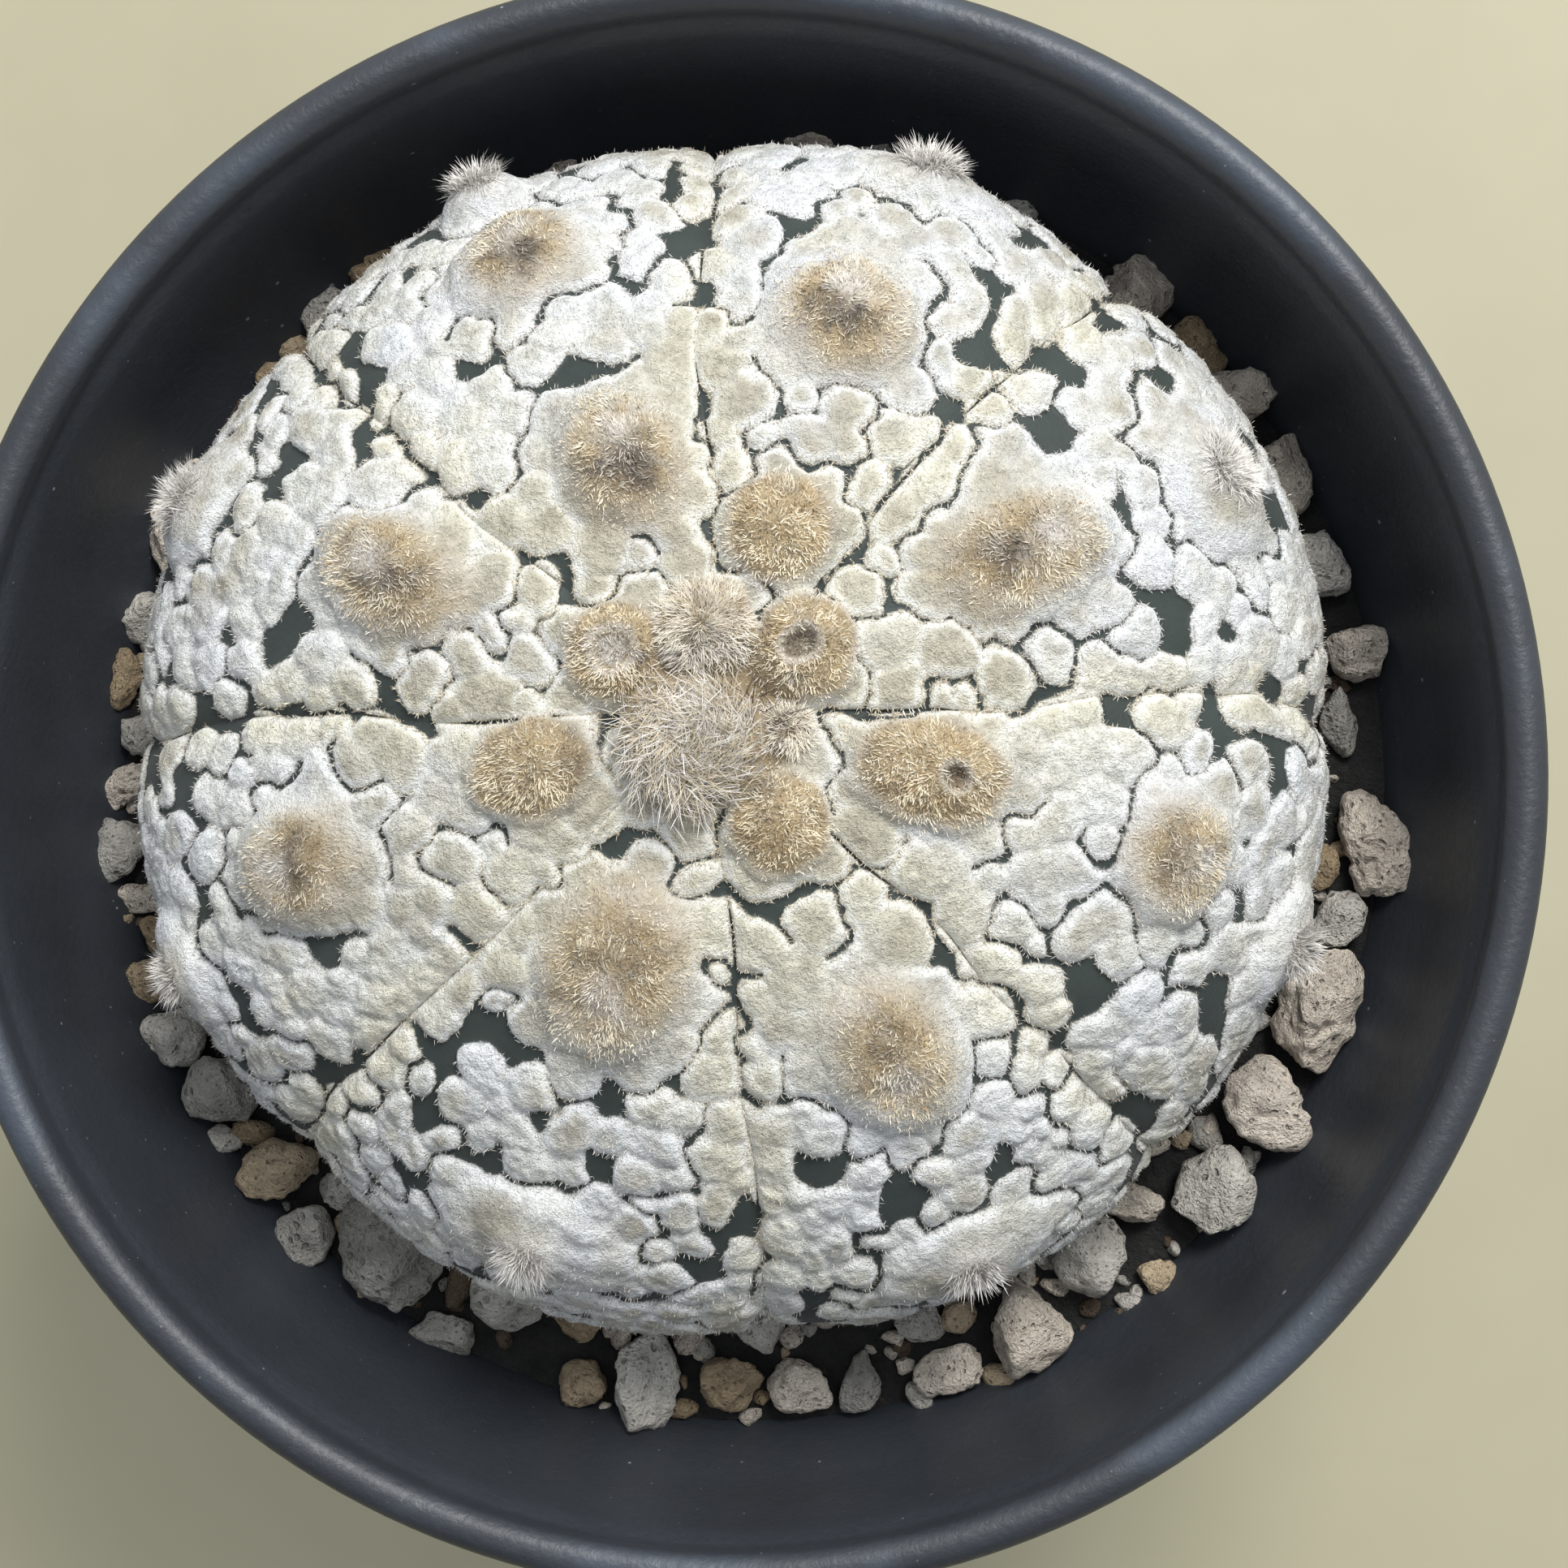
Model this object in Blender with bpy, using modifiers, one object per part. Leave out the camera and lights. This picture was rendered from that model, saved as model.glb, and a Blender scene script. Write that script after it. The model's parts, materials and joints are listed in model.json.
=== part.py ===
"""Potted star cactus (Astrophytum asterias) in a round plastic pot with a stone top dressing.

Run with:  blender --background --python part.py
Metres, +Z up.  The origin is the centre of the pot's foot, on the surface it stands on.
"""
import math
import random

import bmesh
import bpy
from mathutils import Matrix, Vector, noise

MM = 0.001
TOUCH_GAP = 0.3 * MM           # air left between two pieces that touch

# Pot: a thermoformed round pot, its wall drawn in towards the foot
POT_HEIGHT = 100.0 * MM
RIM_RADIUS = 70.0 * MM         # outer edge of the rolled rim
RIM_BEAD = 1.9 * MM            # radius of the rolled rim's round section
WALL = 1.8 * MM
WALL_TAPER = math.tan(math.radians(7.1))
FOOT_WIDTH = 6.0 * MM          # the flat ring that the pot stands on
FLOOR_LIFT = 2.5 * MM          # recess under the floor, inside the foot ring
FLOOR = 2.0 * MM
POT_STEPS = 64
BEAD_STEPS = 5
DRAIN_HOLES = 6
DRAIN_RADIUS = 3.5 * MM
DRAIN_CIRCLE = 30.0 * MM

# Potting mix: fills the pot up to the layer of stones
MIX_TOP = 73.0 * MM
SOCKET_RADIUS = 19.0 * MM      # the hole that the root grew in, at the top of the mix
SOCKET_DEPTH = 36.0 * MM
MIX_STEPS = 48

# Cactus body: a flattened globe with eight ribs, and a short thick root below it
PLANT_CENTRE = Vector((0.6 * MM, 4.3 * MM))
PLANT_RADIUS = 53.0 * MM
EQUATOR_Z = 88.0 * MM
CROWN_Z = 114.0 * MM
DOME_POWER = 2.3
DOME_ROUNDING = 0.6
BELLY = [(53.0, 88.0), (52.0, 84.0), (48.5, 79.6), (41.0, 76.4), (28.0, 74.4)]   # mm: radius, height
ROOT = [(19.0, 73.5), (15.0, 65.0), (10.5, 54.0), (5.5, 45.0), (0.0, 40.0)]      # mm: radius, height
GROOVES = [2.0, 49.0, 91.0, 139.0, 180.0, 224.0, 274.0, 315.0]   # degrees, round from +X
GROOVE_DEPTH = 2.0 * MM
GROOVE_WIDTH = 0.16            # part of a rib's half width that dips into the groove
RIB_SEGMENTS = 8               # facets across one rib
CROWN_RINGS = 13

# Areoles: the woolly cushions along each rib, as (mm from the crown, degrees round from +X, mm radius)
AREOLES = [
    (2.8, 252.0, 5.4), (7.7, 92.0, 4.2),
    (9.6, 34.5, 4.6), (27.5, 27.0, 6.2), (46.5, 26.0, 4.4),
    (15.9, 71.0, 4.8), (35.0, 71.5, 6.4), (50.0, 71.0, 4.0),
    (22.3, 108.6, 5.6), (42.8, 112.7, 5.6), (50.5, 115.0, 4.0),
    (9.1, 145.0, 4.2), (28.0, 155.6, 6.2), (49.5, 157.4, 4.0),
    (15.0, 195.0, 5.0), (35.6, 200.0, 6.0), (50.5, 203.0, 4.0),
    (21.8, 248.4, 7.0), (45.0, 249.1, 4.6),
    (10.3, 303.6, 4.2), (30.3, 297.1, 6.2), (48.5, 294.1, 4.4),
    (18.5, 346.5, 5.6), (38.3, 341.6, 5.6), (51.5, 339.0, 4.0),
]
AREOLE_LIFT = 1.3 * MM

# Top dressing: one row for each stone, going round the pot from +X
# degrees, mm from the pot's axis, mm long, mm wide, degrees turned, kind
STONES = [
    (4, 55.5, 6.5, 3.6, 80, "grey"), (12, 58.3, 5.9, 5.5, 0, "pumice"),
    (21, 57.1, 6.8, 6.1, -20, "grey"), (30, 57.9, 8.4, 5.7, -70, "pumice"),
    (37, 58.5, 7.2, 5.8, -10, "pumice"), (44, 58.9, 6.2, 5.7, 0, "ochre"),
    (51, 60.2, 8.0, 7.2, 20, "pumice"), (64, 59.4, 3.6, 3.2, 35, "grey"),
    (78, 61.7, 5.7, 4.4, 75, "grey"), (84, 61.6, 8.4, 4.2, -15, "pumice"),
    (95, 61.6, 5.2, 4.0, 10, "grey"), (106, 61.6, 6.0, 4.4, 15, "pumice"),
    (117, 61.4, 5.4, 4.2, 30, "grey"), (126, 61.6, 5.8, 4.6, 40, "ochre"),
    (133, 62.1, 5.8, 4.6, 20, "grey"), (137, 61.0, 3.6, 3.2, 0, "ochre"),
    (141, 62.4, 4.4, 3.6, 80, "ochre"), (154, 61.7, 14.1, 6.7, 75, "pumice"),
    (164, 62.1, 5.3, 4.4, 50, "grey"), (170, 62.1, 6.1, 4.3, 80, "ochre"),
    (174, 59.2, 4.6, 4.3, 0, "grey"), (179, 59.5, 6.5, 3.2, 40, "pumice"),
    (186, 60.1, 6.1, 5.2, 70, "grey"), (191, 58.9, 5.5, 3.0, 5, "pumice"),
    (194, 58.0, 4.0, 3.7, 0, "ochre"), (198, 60.3, 5.5, 4.6, -10, "ochre"),
    (204, 59.3, 6.2, 5.9, 0, "grey"), (210, 57.5, 7.6, 6.5, 10, "grey"),
    (214, 60.8, 4.7, 3.0, 0, "grey"), (220, 57.3, 8.0, 6.5, 10, "ochre"),
    (226, 59.8, 5.9, 5.2, -50, "grey"), (225, 54.4, 4.7, 4.2, 0, "grey"),
    (233, 55.5, 11.4, 9.1, -60, "grey"), (241, 58.8, 6.5, 3.8, -10, "grey"),
    (246, 53.0, 7.6, 6.5, -20, "grey"), (252, 52.6, 5.7, 5.0, 10, "ochre"),
    (255, 58.6, 5.0, 4.7, 0, "ochre"), (261, 56.9, 9.9, 6.2, 85, "grey"),
    (269, 56.0, 6.1, 5.5, 30, "ochre"), (275, 56.2, 6.7, 4.7, -30, "pumice"),
    (281, 57.2, 6.1, 4.0, 75, "grey"), (288, 53.2, 4.9, 3.6, 15, "grey"),
    (289, 57.9, 6.8, 4.4, 20, "pumice"), (298, 56.8, 9.5, 8.4, 60, "pumice"),
    (307, 54.4, 8.4, 6.7, -60, "grey"), (310, 60.0, 3.8, 3.4, 20, "ochre"),
    (314, 53.8, 6.5, 4.4, -10, "pumice"), (320, 56.2, 8.7, 8.0, 40, "grey"),
    (328, 56.4, 9.9, 7.6, -50, "pumice"), (338, 56.5, 11.4, 8.7, 60, "pumice"),
    (347, 57.0, 5.7, 4.9, 50, "grey"), (352, 54.4, 4.6, 3.6, 90, "ochre"),
    (354, 60.0, 10.7, 6.1, -70, "pumice"), (272, 51.2, 5.0, 4.4, 10, "grey"),
]
BARK = [(146, 60.8, 7.6, 2.6, 60), (359, 55.0, 7.0, 2.6, 85), (241, 53.6, 8.0, 2.8, 62)]
STONE_FLATNESS = 0.82          # height over width
STONE_FACETS = 7
STONE_DETAIL = 2
SETTLING_PASSES = 160
NEIGHBOUR_RANGE = 16.0 * MM    # stones further apart than this can't touch
WALL_CLEARANCE = 0.4 * MM      # a little over the touching gap, for the wall's flat facets
BELLY_CLEARANCE = 0.4 * MM

COLLECTION = "potted_star_cactus"


# ---------------------------------------------------------------- scene and materials
def clear_scene():
    """Start from an empty scene."""
    for obj in list(bpy.data.objects):
        bpy.data.objects.remove(obj, do_unlink=True)


def new_collection(name):
    collection = bpy.data.collections.new(name)
    bpy.context.scene.collection.children.link(collection)
    return collection


def principled(name, colour, roughness):
    """A plain, non-metallic surface."""
    material = bpy.data.materials.new(name)
    material.use_nodes = True
    shader = material.node_tree.nodes["Principled BSDF"]
    shader.inputs["Base Color"].default_value = (*colour, 1.0)
    shader.inputs["Roughness"].default_value = roughness
    shader.inputs["Metallic"].default_value = 0.0
    return material


def add_object(name, mesh, material, collection):
    obj = bpy.data.objects.new(name, mesh)
    mesh.materials.clear()
    mesh.materials.append(material)
    collection.objects.link(obj)
    return obj


def profile_mesh(name, points):
    """An open or closed run of (radius, height) points in the XZ plane, ready to be turned."""
    bm = bmesh.new()
    verts = [bm.verts.new((radius, 0.0, height)) for radius, height in points]
    for start, end in zip(verts, verts[1:]):
        bm.edges.new((start, end))
    mesh = bpy.data.meshes.new(name)
    bm.to_mesh(mesh)
    bm.free()
    return mesh


def turn(obj, steps):
    """Turn a profile round Z into a closed body."""
    screw = obj.modifiers.new("Turn", "SCREW")
    screw.axis = "Z"
    screw.steps = steps
    screw.render_steps = steps
    screw.use_merge_vertices = True
    screw.merge_threshold = 0.00005
    screw.use_smooth_shade = False


# ---------------------------------------------------------------- pot
def outer_radius(height):
    """Outside of the pot's wall at a height."""
    wall_top = RIM_RADIUS - RIM_BEAD
    return wall_top - (POT_HEIGHT - height) * WALL_TAPER


def inner_radius(height):
    return outer_radius(height) - WALL


def pot_profile():
    """Half section of the pot, down its outside from the rim and back up its inside."""
    bead_x = RIM_RADIUS - RIM_BEAD
    bead_z = POT_HEIGHT - RIM_BEAD
    rim = []
    for step in range(BEAD_STEPS + 1):
        angle = math.radians(135.0 - 45.0 * step)
        rim.append((bead_x + RIM_BEAD * math.cos(angle), bead_z + RIM_BEAD * math.sin(angle)))
    foot = outer_radius(0.0)
    inner_foot = foot - FOOT_WIDTH
    floor_top = FLOOR_LIFT + FLOOR
    corner = 2.0 * MM
    wall_low = POT_HEIGHT - 3.4 * RIM_BEAD
    inside_top = (inner_radius(wall_low), wall_low)
    outside = [(outer_radius(wall_low), wall_low), (outer_radius(corner), corner), (foot - corner / 2, 0.0)]
    under = [(inner_foot, 0.0), (inner_foot - FLOOR_LIFT / 2, FLOOR_LIFT), (0.0, FLOOR_LIFT)]
    inside = [(0.0, floor_top), (inner_radius(floor_top) - corner, floor_top),
              (inner_radius(floor_top + corner), floor_top + corner), inside_top]
    return rim + outside + under + inside + [rim[0]]


def make_pot(material, collection, cutters):
    pot = add_object("pot", profile_mesh("pot", pot_profile()), material, collection)
    turn(pot, POT_STEPS)
    drill = bmesh.new()
    for index in range(DRAIN_HOLES):
        angle = 2.0 * math.pi * index / DRAIN_HOLES
        place = Matrix.Translation((DRAIN_CIRCLE * math.cos(angle), DRAIN_CIRCLE * math.sin(angle),
                                    FLOOR_LIFT + FLOOR / 2))
        bmesh.ops.create_cone(drill, cap_ends=True, segments=12, radius1=DRAIN_RADIUS, radius2=DRAIN_RADIUS,
                              depth=4.0 * FLOOR, matrix=place)
    mesh = bpy.data.meshes.new("drain_drill")
    drill.to_mesh(mesh)
    drill.free()
    cutter = add_object("drain_drill", mesh, material, cutters)
    cutter.hide_render = True
    cutter.display_type = "WIRE"
    cut = pot.modifiers.new("Drain holes", "BOOLEAN")
    cut.operation = "DIFFERENCE"
    cut.object = cutter
    return pot


# ---------------------------------------------------------------- potting mix
def mix_profile():
    """Half section of the mix: a plug that fills the pot, with the root's hole in its top."""
    floor = FLOOR_LIFT + FLOOR + TOUCH_GAP
    chamfer = 3.0 * MM
    centre = PLANT_CENTRE.length
    socket_foot = SOCKET_RADIUS * 0.45
    return [
        (0.0, MIX_TOP - SOCKET_DEPTH),
        (socket_foot, MIX_TOP - SOCKET_DEPTH),
        (SOCKET_RADIUS + centre, MIX_TOP - 2.0 * MM),
        (SOCKET_RADIUS + centre + 2.0 * MM, MIX_TOP),
        (inner_radius(MIX_TOP) - TOUCH_GAP, MIX_TOP),
        (inner_radius(floor + chamfer) - TOUCH_GAP - 0.1 * MM, floor + chamfer),
        (inner_radius(floor) - chamfer - TOUCH_GAP, floor),
        (0.0, floor),
    ]


def make_mix(material, collection):
    mix = add_object("potting_mix", profile_mesh("potting_mix", mix_profile()), material, collection)
    turn(mix, MIX_STEPS)
    return mix


# ---------------------------------------------------------------- cactus
def dome_height(radius):
    """Height of the dome's skin at a distance from its axis, before ribs and areoles."""
    share = min(radius / PLANT_RADIUS, 1.0)
    return EQUATOR_Z + (CROWN_Z - EQUATOR_Z) * (1.0 - share ** DOME_POWER) ** DOME_ROUNDING


def plant_profile():
    """(radius, height) of every ring of the body, crown to root tip."""
    rings = []
    for step in range(CROWN_RINGS + 1):
        radius = PLANT_RADIUS * math.sin(0.5 * math.pi * step / CROWN_RINGS)
        rings.append((radius, dome_height(radius)))
    rings += [(radius * MM, height * MM) for radius, height in BELLY[1:] + ROOT]
    return rings


def rib_angle(index):
    """Azimuth of a meridian: the eight ribs are unequal, so meridians follow the grooves."""
    rib, step = divmod(index, RIB_SEGMENTS)
    start = GROOVES[rib]
    end = GROOVES[(rib + 1) % len(GROOVES)]
    span = (end - start) % 360.0
    return math.radians(start + span * step / RIB_SEGMENTS)


def rib_dip(index):
    """How far a meridian is drawn in: 1 in a groove, 0 on a rib's back."""
    step = index % RIB_SEGMENTS
    across = abs(2.0 * step / RIB_SEGMENTS - 1.0)
    sharp = math.exp(-((1.0 - across) / GROOVE_WIDTH) ** 2)
    return 0.62 * sharp + 0.38 * across ** 3


def areole_lift(point):
    """Height of the cushion that an areole sits on, at a point of the plan."""
    lift = 0.0
    for reach, azimuth, size in AREOLES:
        angle = math.radians(azimuth)
        centre = Vector((reach * math.cos(angle), reach * math.sin(angle))) * MM
        near = (point - centre).length / (size * MM)
        lift += AREOLE_LIFT * math.exp(-near ** 4)
    return lift


def make_cactus(material, collection):
    """One solid: dome, ribs, belly and root, shaped from a sphere's rings and meridians."""
    rings = plant_profile()
    meridians = RIB_SEGMENTS * len(GROOVES)
    bm = bmesh.new()
    bmesh.ops.create_uvsphere(bm, u_segments=meridians, v_segments=len(rings) - 1, radius=1.0)
    for vert in bm.verts:
        polar = math.acos(max(-1.0, min(1.0, vert.co.z)))
        ring = round(polar / math.pi * (len(rings) - 1))
        radius, height = rings[ring]
        turned = math.atan2(vert.co.y, vert.co.x) % (2.0 * math.pi)
        index = round(turned / (2.0 * math.pi) * meridians) % meridians
        angle = rib_angle(index)
        share = min(radius / PLANT_RADIUS, 1.0)
        above = height > MIX_TOP + 2.0 * MM
        dip = GROOVE_DEPTH * rib_dip(index) * share ** 0.5 if above else 0.0
        outward = Vector((radius / PLANT_RADIUS, 0.0, math.sqrt(1.0 - share * share)))
        radius_out = radius - dip * outward.x
        plan = Vector((radius * math.cos(angle), radius * math.sin(angle)))
        lift = areole_lift(plan) if ring <= CROWN_RINGS else 0.0
        vert.co = (PLANT_CENTRE.x + radius_out * math.cos(angle),
                   PLANT_CENTRE.y + radius_out * math.sin(angle),
                   height + (lift - dip) * outward.z)
    bmesh.ops.recalc_face_normals(bm, faces=bm.faces)
    mesh = bpy.data.meshes.new("cactus_body")
    bm.to_mesh(mesh)
    bm.free()
    return add_object("cactus_body", mesh, material, collection)


# ---------------------------------------------------------------- stones
def fill_unit_ball(bm):
    """Stretch a stone so that it reaches exactly 1 each way from its centre."""
    for axis in range(3):
        low = min(vert.co[axis] for vert in bm.verts)
        high = max(vert.co[axis] for vert in bm.verts)
        for vert in bm.verts:
            vert.co[axis] = (2.0 * vert.co[axis] - low - high) / (high - low)


def stone_mesh(seed, length, width, turned, height):
    """Mesh of one crushed stone: a lumpy ball cut by a few flat facets, then stretched and turned."""
    chance = random.Random(seed)
    bm = bmesh.new()
    bmesh.ops.create_icosphere(bm, subdivisions=STONE_DETAIL, radius=1.0)
    facets = []
    for _ in range(STONE_FACETS):
        normal = Vector((chance.gauss(0, 1), chance.gauss(0, 1), chance.gauss(0, 1))).normalized()
        facets.append((normal, chance.uniform(0.72, 0.92)))
    shift = Vector((chance.uniform(-50, 50), chance.uniform(-50, 50), chance.uniform(-50, 50)))
    for vert in bm.verts:
        point = vert.co * (1.0 + 0.14 * noise.noise(vert.co * 1.4 + shift))
        for normal, reach in facets:
            over = point.dot(normal) - reach
            if over > 0.0:
                point -= normal * over * 0.85
        vert.co = point
    fill_unit_ball(bm)
    tip = Matrix.Rotation(chance.uniform(-0.25, 0.25), 4, "X")
    stretch = Matrix.Diagonal((length / 2 * MM, width / 2 * MM, height / 2 * MM, 1.0))
    spin = Matrix.Rotation(math.radians(turned), 4, "Z")
    bm.transform(spin @ tip @ stretch)
    return bm


def reach_along(points, direction):
    """How far a stone reaches from its centre in a direction."""
    return max(point.dot(direction) for point in points)


def belly_radius(height):
    """Radius of the plant's underside at a height."""
    upper = (PLANT_RADIUS, EQUATOR_Z)
    for radius, level in BELLY[1:]:
        lower = (radius * MM, level * MM)
        if height >= lower[1]:
            share = (height - lower[1]) / (upper[1] - lower[1])
            return lower[0] + (upper[0] - lower[0]) * share
        upper = lower
    return upper[0]


def beyond_wall(shape, centre):
    """How far a stone would reach into the pot's wall, whose inside widens upwards."""
    over = 0.0
    for point in shape:
        reach = math.hypot(centre.x + point.x, centre.y + point.y)
        over = max(over, reach + WALL_CLEARANCE - inner_radius(centre.z + point.z))
    return over


def under_plant(shape, centre):
    """How far a stone would reach into the plant's belly."""
    over = 0.0
    for point in shape:
        reach = math.hypot(centre.x + point.x - PLANT_CENTRE.x, centre.y + point.y - PLANT_CENTRE.y)
        over = max(over, belly_radius(min(centre.z + point.z, EQUATOR_Z)) + BELLY_CLEARANCE - reach)
    return over


def settle(shapes, centres):
    """Push stones apart until none touch each other, the wall or the plant."""
    for _ in range(SETTLING_PASSES):
        for first in range(len(shapes)):
            for second in range(first + 1, len(shapes)):
                line = centres[second] - centres[first]
                if line.length > NEIGHBOUR_RANGE:
                    continue
                away = line.normalized()
                span = reach_along(shapes[first], away) + reach_along(shapes[second], -away)
                lack = span + TOUCH_GAP - line.length
                if lack > 0.0:
                    push = away * (lack / 2 + 0.01 * MM)
                    push.z = 0.0
                    centres[first] -= push
                    centres[second] += push
        for index, shape in enumerate(shapes):
            centre = centres[index]
            outward = Vector((centre.x, centre.y, 0.0)).normalized()
            centres[index] -= outward * beyond_wall(shape, centre)
            side = Vector((centre.x - PLANT_CENTRE.x, centre.y - PLANT_CENTRE.y, 0.0)).normalized()
            centres[index] += side * under_plant(shape, centres[index]) * 0.5
    return centres


def make_stones(materials, collection):
    """Every stone and bark chip of the top dressing, lying on the mix."""
    rows = [(f"stone_{number:02d}", *row) for number, row in enumerate(STONES, start=1)]
    rows += [(f"bark_chip_{number}", *row, "bark") for number, row in enumerate(BARK, start=1)]
    meshes = []
    centres = []
    for number, (name, azimuth, reach, length, width, turned, kind) in enumerate(rows):
        bm = stone_mesh(number + 1, length, width, turned, width * STONE_FLATNESS)
        low = min(vert.co.z for vert in bm.verts)
        angle = math.radians(azimuth)
        centres.append(Vector((reach * MM * math.cos(angle), reach * MM * math.sin(angle),
                               MIX_TOP + TOUCH_GAP - low)))
        meshes.append((name, kind, bm))
    shapes = [[vert.co.copy() for vert in bm.verts] for _, _, bm in meshes]
    settle(shapes, centres)
    for (name, kind, bm), centre in zip(meshes, centres):
        mesh = bpy.data.meshes.new(name)
        bm.to_mesh(mesh)
        bm.free()
        stone = add_object(name, mesh, materials[kind], collection)
        stone.location = centre


# ---------------------------------------------------------------- build
def build():
    clear_scene()
    collection = new_collection(COLLECTION)
    cutters = new_collection("cutters")
    materials = {
        "pot": principled("pot_plastic", (0.035, 0.040, 0.047), 0.55),
        "mix": principled("potting_mix", (0.060, 0.045, 0.032), 0.95),
        "cactus": principled("cactus_felt", (0.78, 0.78, 0.73), 0.9),
        "pumice": principled("pale_pumice", (0.56, 0.52, 0.46), 0.9),
        "grey": principled("grey_stone", (0.33, 0.32, 0.30), 0.85),
        "ochre": principled("ochre_stone", (0.38, 0.28, 0.17), 0.9),
        "bark": principled("bark", (0.09, 0.06, 0.04), 0.9),
    }
    make_pot(materials["pot"], collection, cutters)
    make_mix(materials["mix"], collection)
    make_cactus(materials["cactus"], collection)
    make_stones(materials, collection)


build()
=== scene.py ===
# %% [markdown]
# # A felted star cactus in a plastic pot
# The plant is a flattened globe with eight ribs. Its dark skin is almost hidden under white felt
# that has cracked into lobed islands, and every rib carries woolly cushions called areoles. The pot
# is plain moulded plastic, and a ring of crushed pumice and clay grains lies round the plant.
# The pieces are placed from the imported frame, so the first cell loads that frame and keeps its box.

# %% Load the frame
import json
import math

import bmesh
import bpy
import numpy as np
from mathutils import Matrix, Vector, kdtree


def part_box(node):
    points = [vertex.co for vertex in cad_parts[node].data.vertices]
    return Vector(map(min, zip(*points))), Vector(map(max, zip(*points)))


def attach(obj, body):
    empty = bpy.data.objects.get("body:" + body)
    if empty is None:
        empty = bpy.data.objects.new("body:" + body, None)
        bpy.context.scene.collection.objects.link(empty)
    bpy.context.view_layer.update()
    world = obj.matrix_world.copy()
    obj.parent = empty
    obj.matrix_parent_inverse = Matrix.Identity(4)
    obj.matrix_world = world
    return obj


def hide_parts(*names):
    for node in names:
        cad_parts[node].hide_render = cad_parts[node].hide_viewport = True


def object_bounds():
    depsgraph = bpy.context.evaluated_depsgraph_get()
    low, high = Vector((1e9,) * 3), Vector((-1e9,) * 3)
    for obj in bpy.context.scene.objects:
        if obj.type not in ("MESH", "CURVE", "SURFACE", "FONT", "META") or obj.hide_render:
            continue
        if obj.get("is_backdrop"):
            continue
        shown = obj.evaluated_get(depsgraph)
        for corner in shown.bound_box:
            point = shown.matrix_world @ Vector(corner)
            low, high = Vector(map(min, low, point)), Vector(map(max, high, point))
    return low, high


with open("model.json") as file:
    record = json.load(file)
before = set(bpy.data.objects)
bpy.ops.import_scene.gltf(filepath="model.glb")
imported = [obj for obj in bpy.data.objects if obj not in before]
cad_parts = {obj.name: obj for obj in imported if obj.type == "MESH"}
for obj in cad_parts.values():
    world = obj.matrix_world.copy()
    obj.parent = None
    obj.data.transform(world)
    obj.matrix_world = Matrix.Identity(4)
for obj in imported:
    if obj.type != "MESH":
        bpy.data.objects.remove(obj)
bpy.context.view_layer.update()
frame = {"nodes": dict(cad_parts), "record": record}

# %% [markdown]
# All shapes are worked out in millimetres, because the plant's details are that small, and turned
# into metres when a mesh is made. The driving sizes are read from the frame: the rim of the pot, the
# top of the potting mix, and the plant's own box.

# %% Driving sizes
MM = 0.001
_, pot_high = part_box("pot")
_, mix_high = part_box("potting_mix")
plant_low, plant_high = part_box("cactus_body")
RIM_RADIUS = pot_high.x / MM
RIM_HEIGHT = pot_high.z / MM
MIX_TOP = mix_high.z / MM
PLANT_X = (plant_low.x + plant_high.x) / 2 / MM
PLANT_Y = (plant_low.y + plant_high.y) / 2 / MM
GROOVE_NOTCH = 0.7      # how far the grooves beside its widest points narrow the plant's box
PLANT_RADIUS = (plant_high.x - plant_low.x) / 2 / MM + GROOVE_NOTCH
WIDEST_BELOW_RIM = 12.0
CROWN_ABOVE_RIM = 14.0
EQUATOR = RIM_HEIGHT - WIDEST_BELOW_RIM
CROWN = RIM_HEIGHT + CROWN_ABOVE_RIM
SEED = 7
print("rim radius", RIM_RADIUS, "mix top", round(MIX_TOP, 1), "plant radius", round(PLANT_RADIUS, 1))

# %% [markdown]
# The view is almost straight down, leaning a few degrees to the right-hand front, as a person sees
# the pot when they bend over it. The camera's axes are given as a matrix, so that the top of the
# picture stays along +Y: the usual track-to rule would turn a camera that looks straight down.

# %% Camera
CAMERA_DISTANCE = 240.0
CAMERA_LEAN = math.radians(4.5)
CAMERA_SIDE = math.radians(-25.0)
AIM_OFF_AXIS = (5.56, -0.91)
LENS_LENGTH = 64.66
SENSOR_WIDTH = 36.0

back = Vector((math.cos(CAMERA_SIDE) * math.sin(CAMERA_LEAN),
               math.sin(CAMERA_SIDE) * math.sin(CAMERA_LEAN), math.cos(CAMERA_LEAN)))
aim = Vector((AIM_OFF_AXIS[0], AIM_OFF_AXIS[1], RIM_HEIGHT)) * MM
side = Vector((0, 1, 0)).cross(back).normalized()
up = back.cross(side)
camera = bpy.data.objects.new("camera", bpy.data.cameras.new("camera"))
camera.data.lens = LENS_LENGTH
camera.data.sensor_width = SENSOR_WIDTH
camera.data.clip_start = 0.01
place = Matrix.Translation(aim + back * CAMERA_DISTANCE * MM)
camera.matrix_world = place @ Matrix((side, up, back)).transposed().to_4x4()
bpy.context.scene.collection.objects.link(camera)
bpy.context.scene.camera = camera
print("camera at", [round(v, 3) for v in camera.location])

# %% [markdown]
# Light is that of an overcast window: one wide soft panel above the far side of the pot, a little to
# the right, and a pale sky, brighter on that side, that opens the shadows. A lamp's size sets how
# soft its shadows are. On a piece this small a panel of 34 cm is soft, yet it shows every fold.

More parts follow.
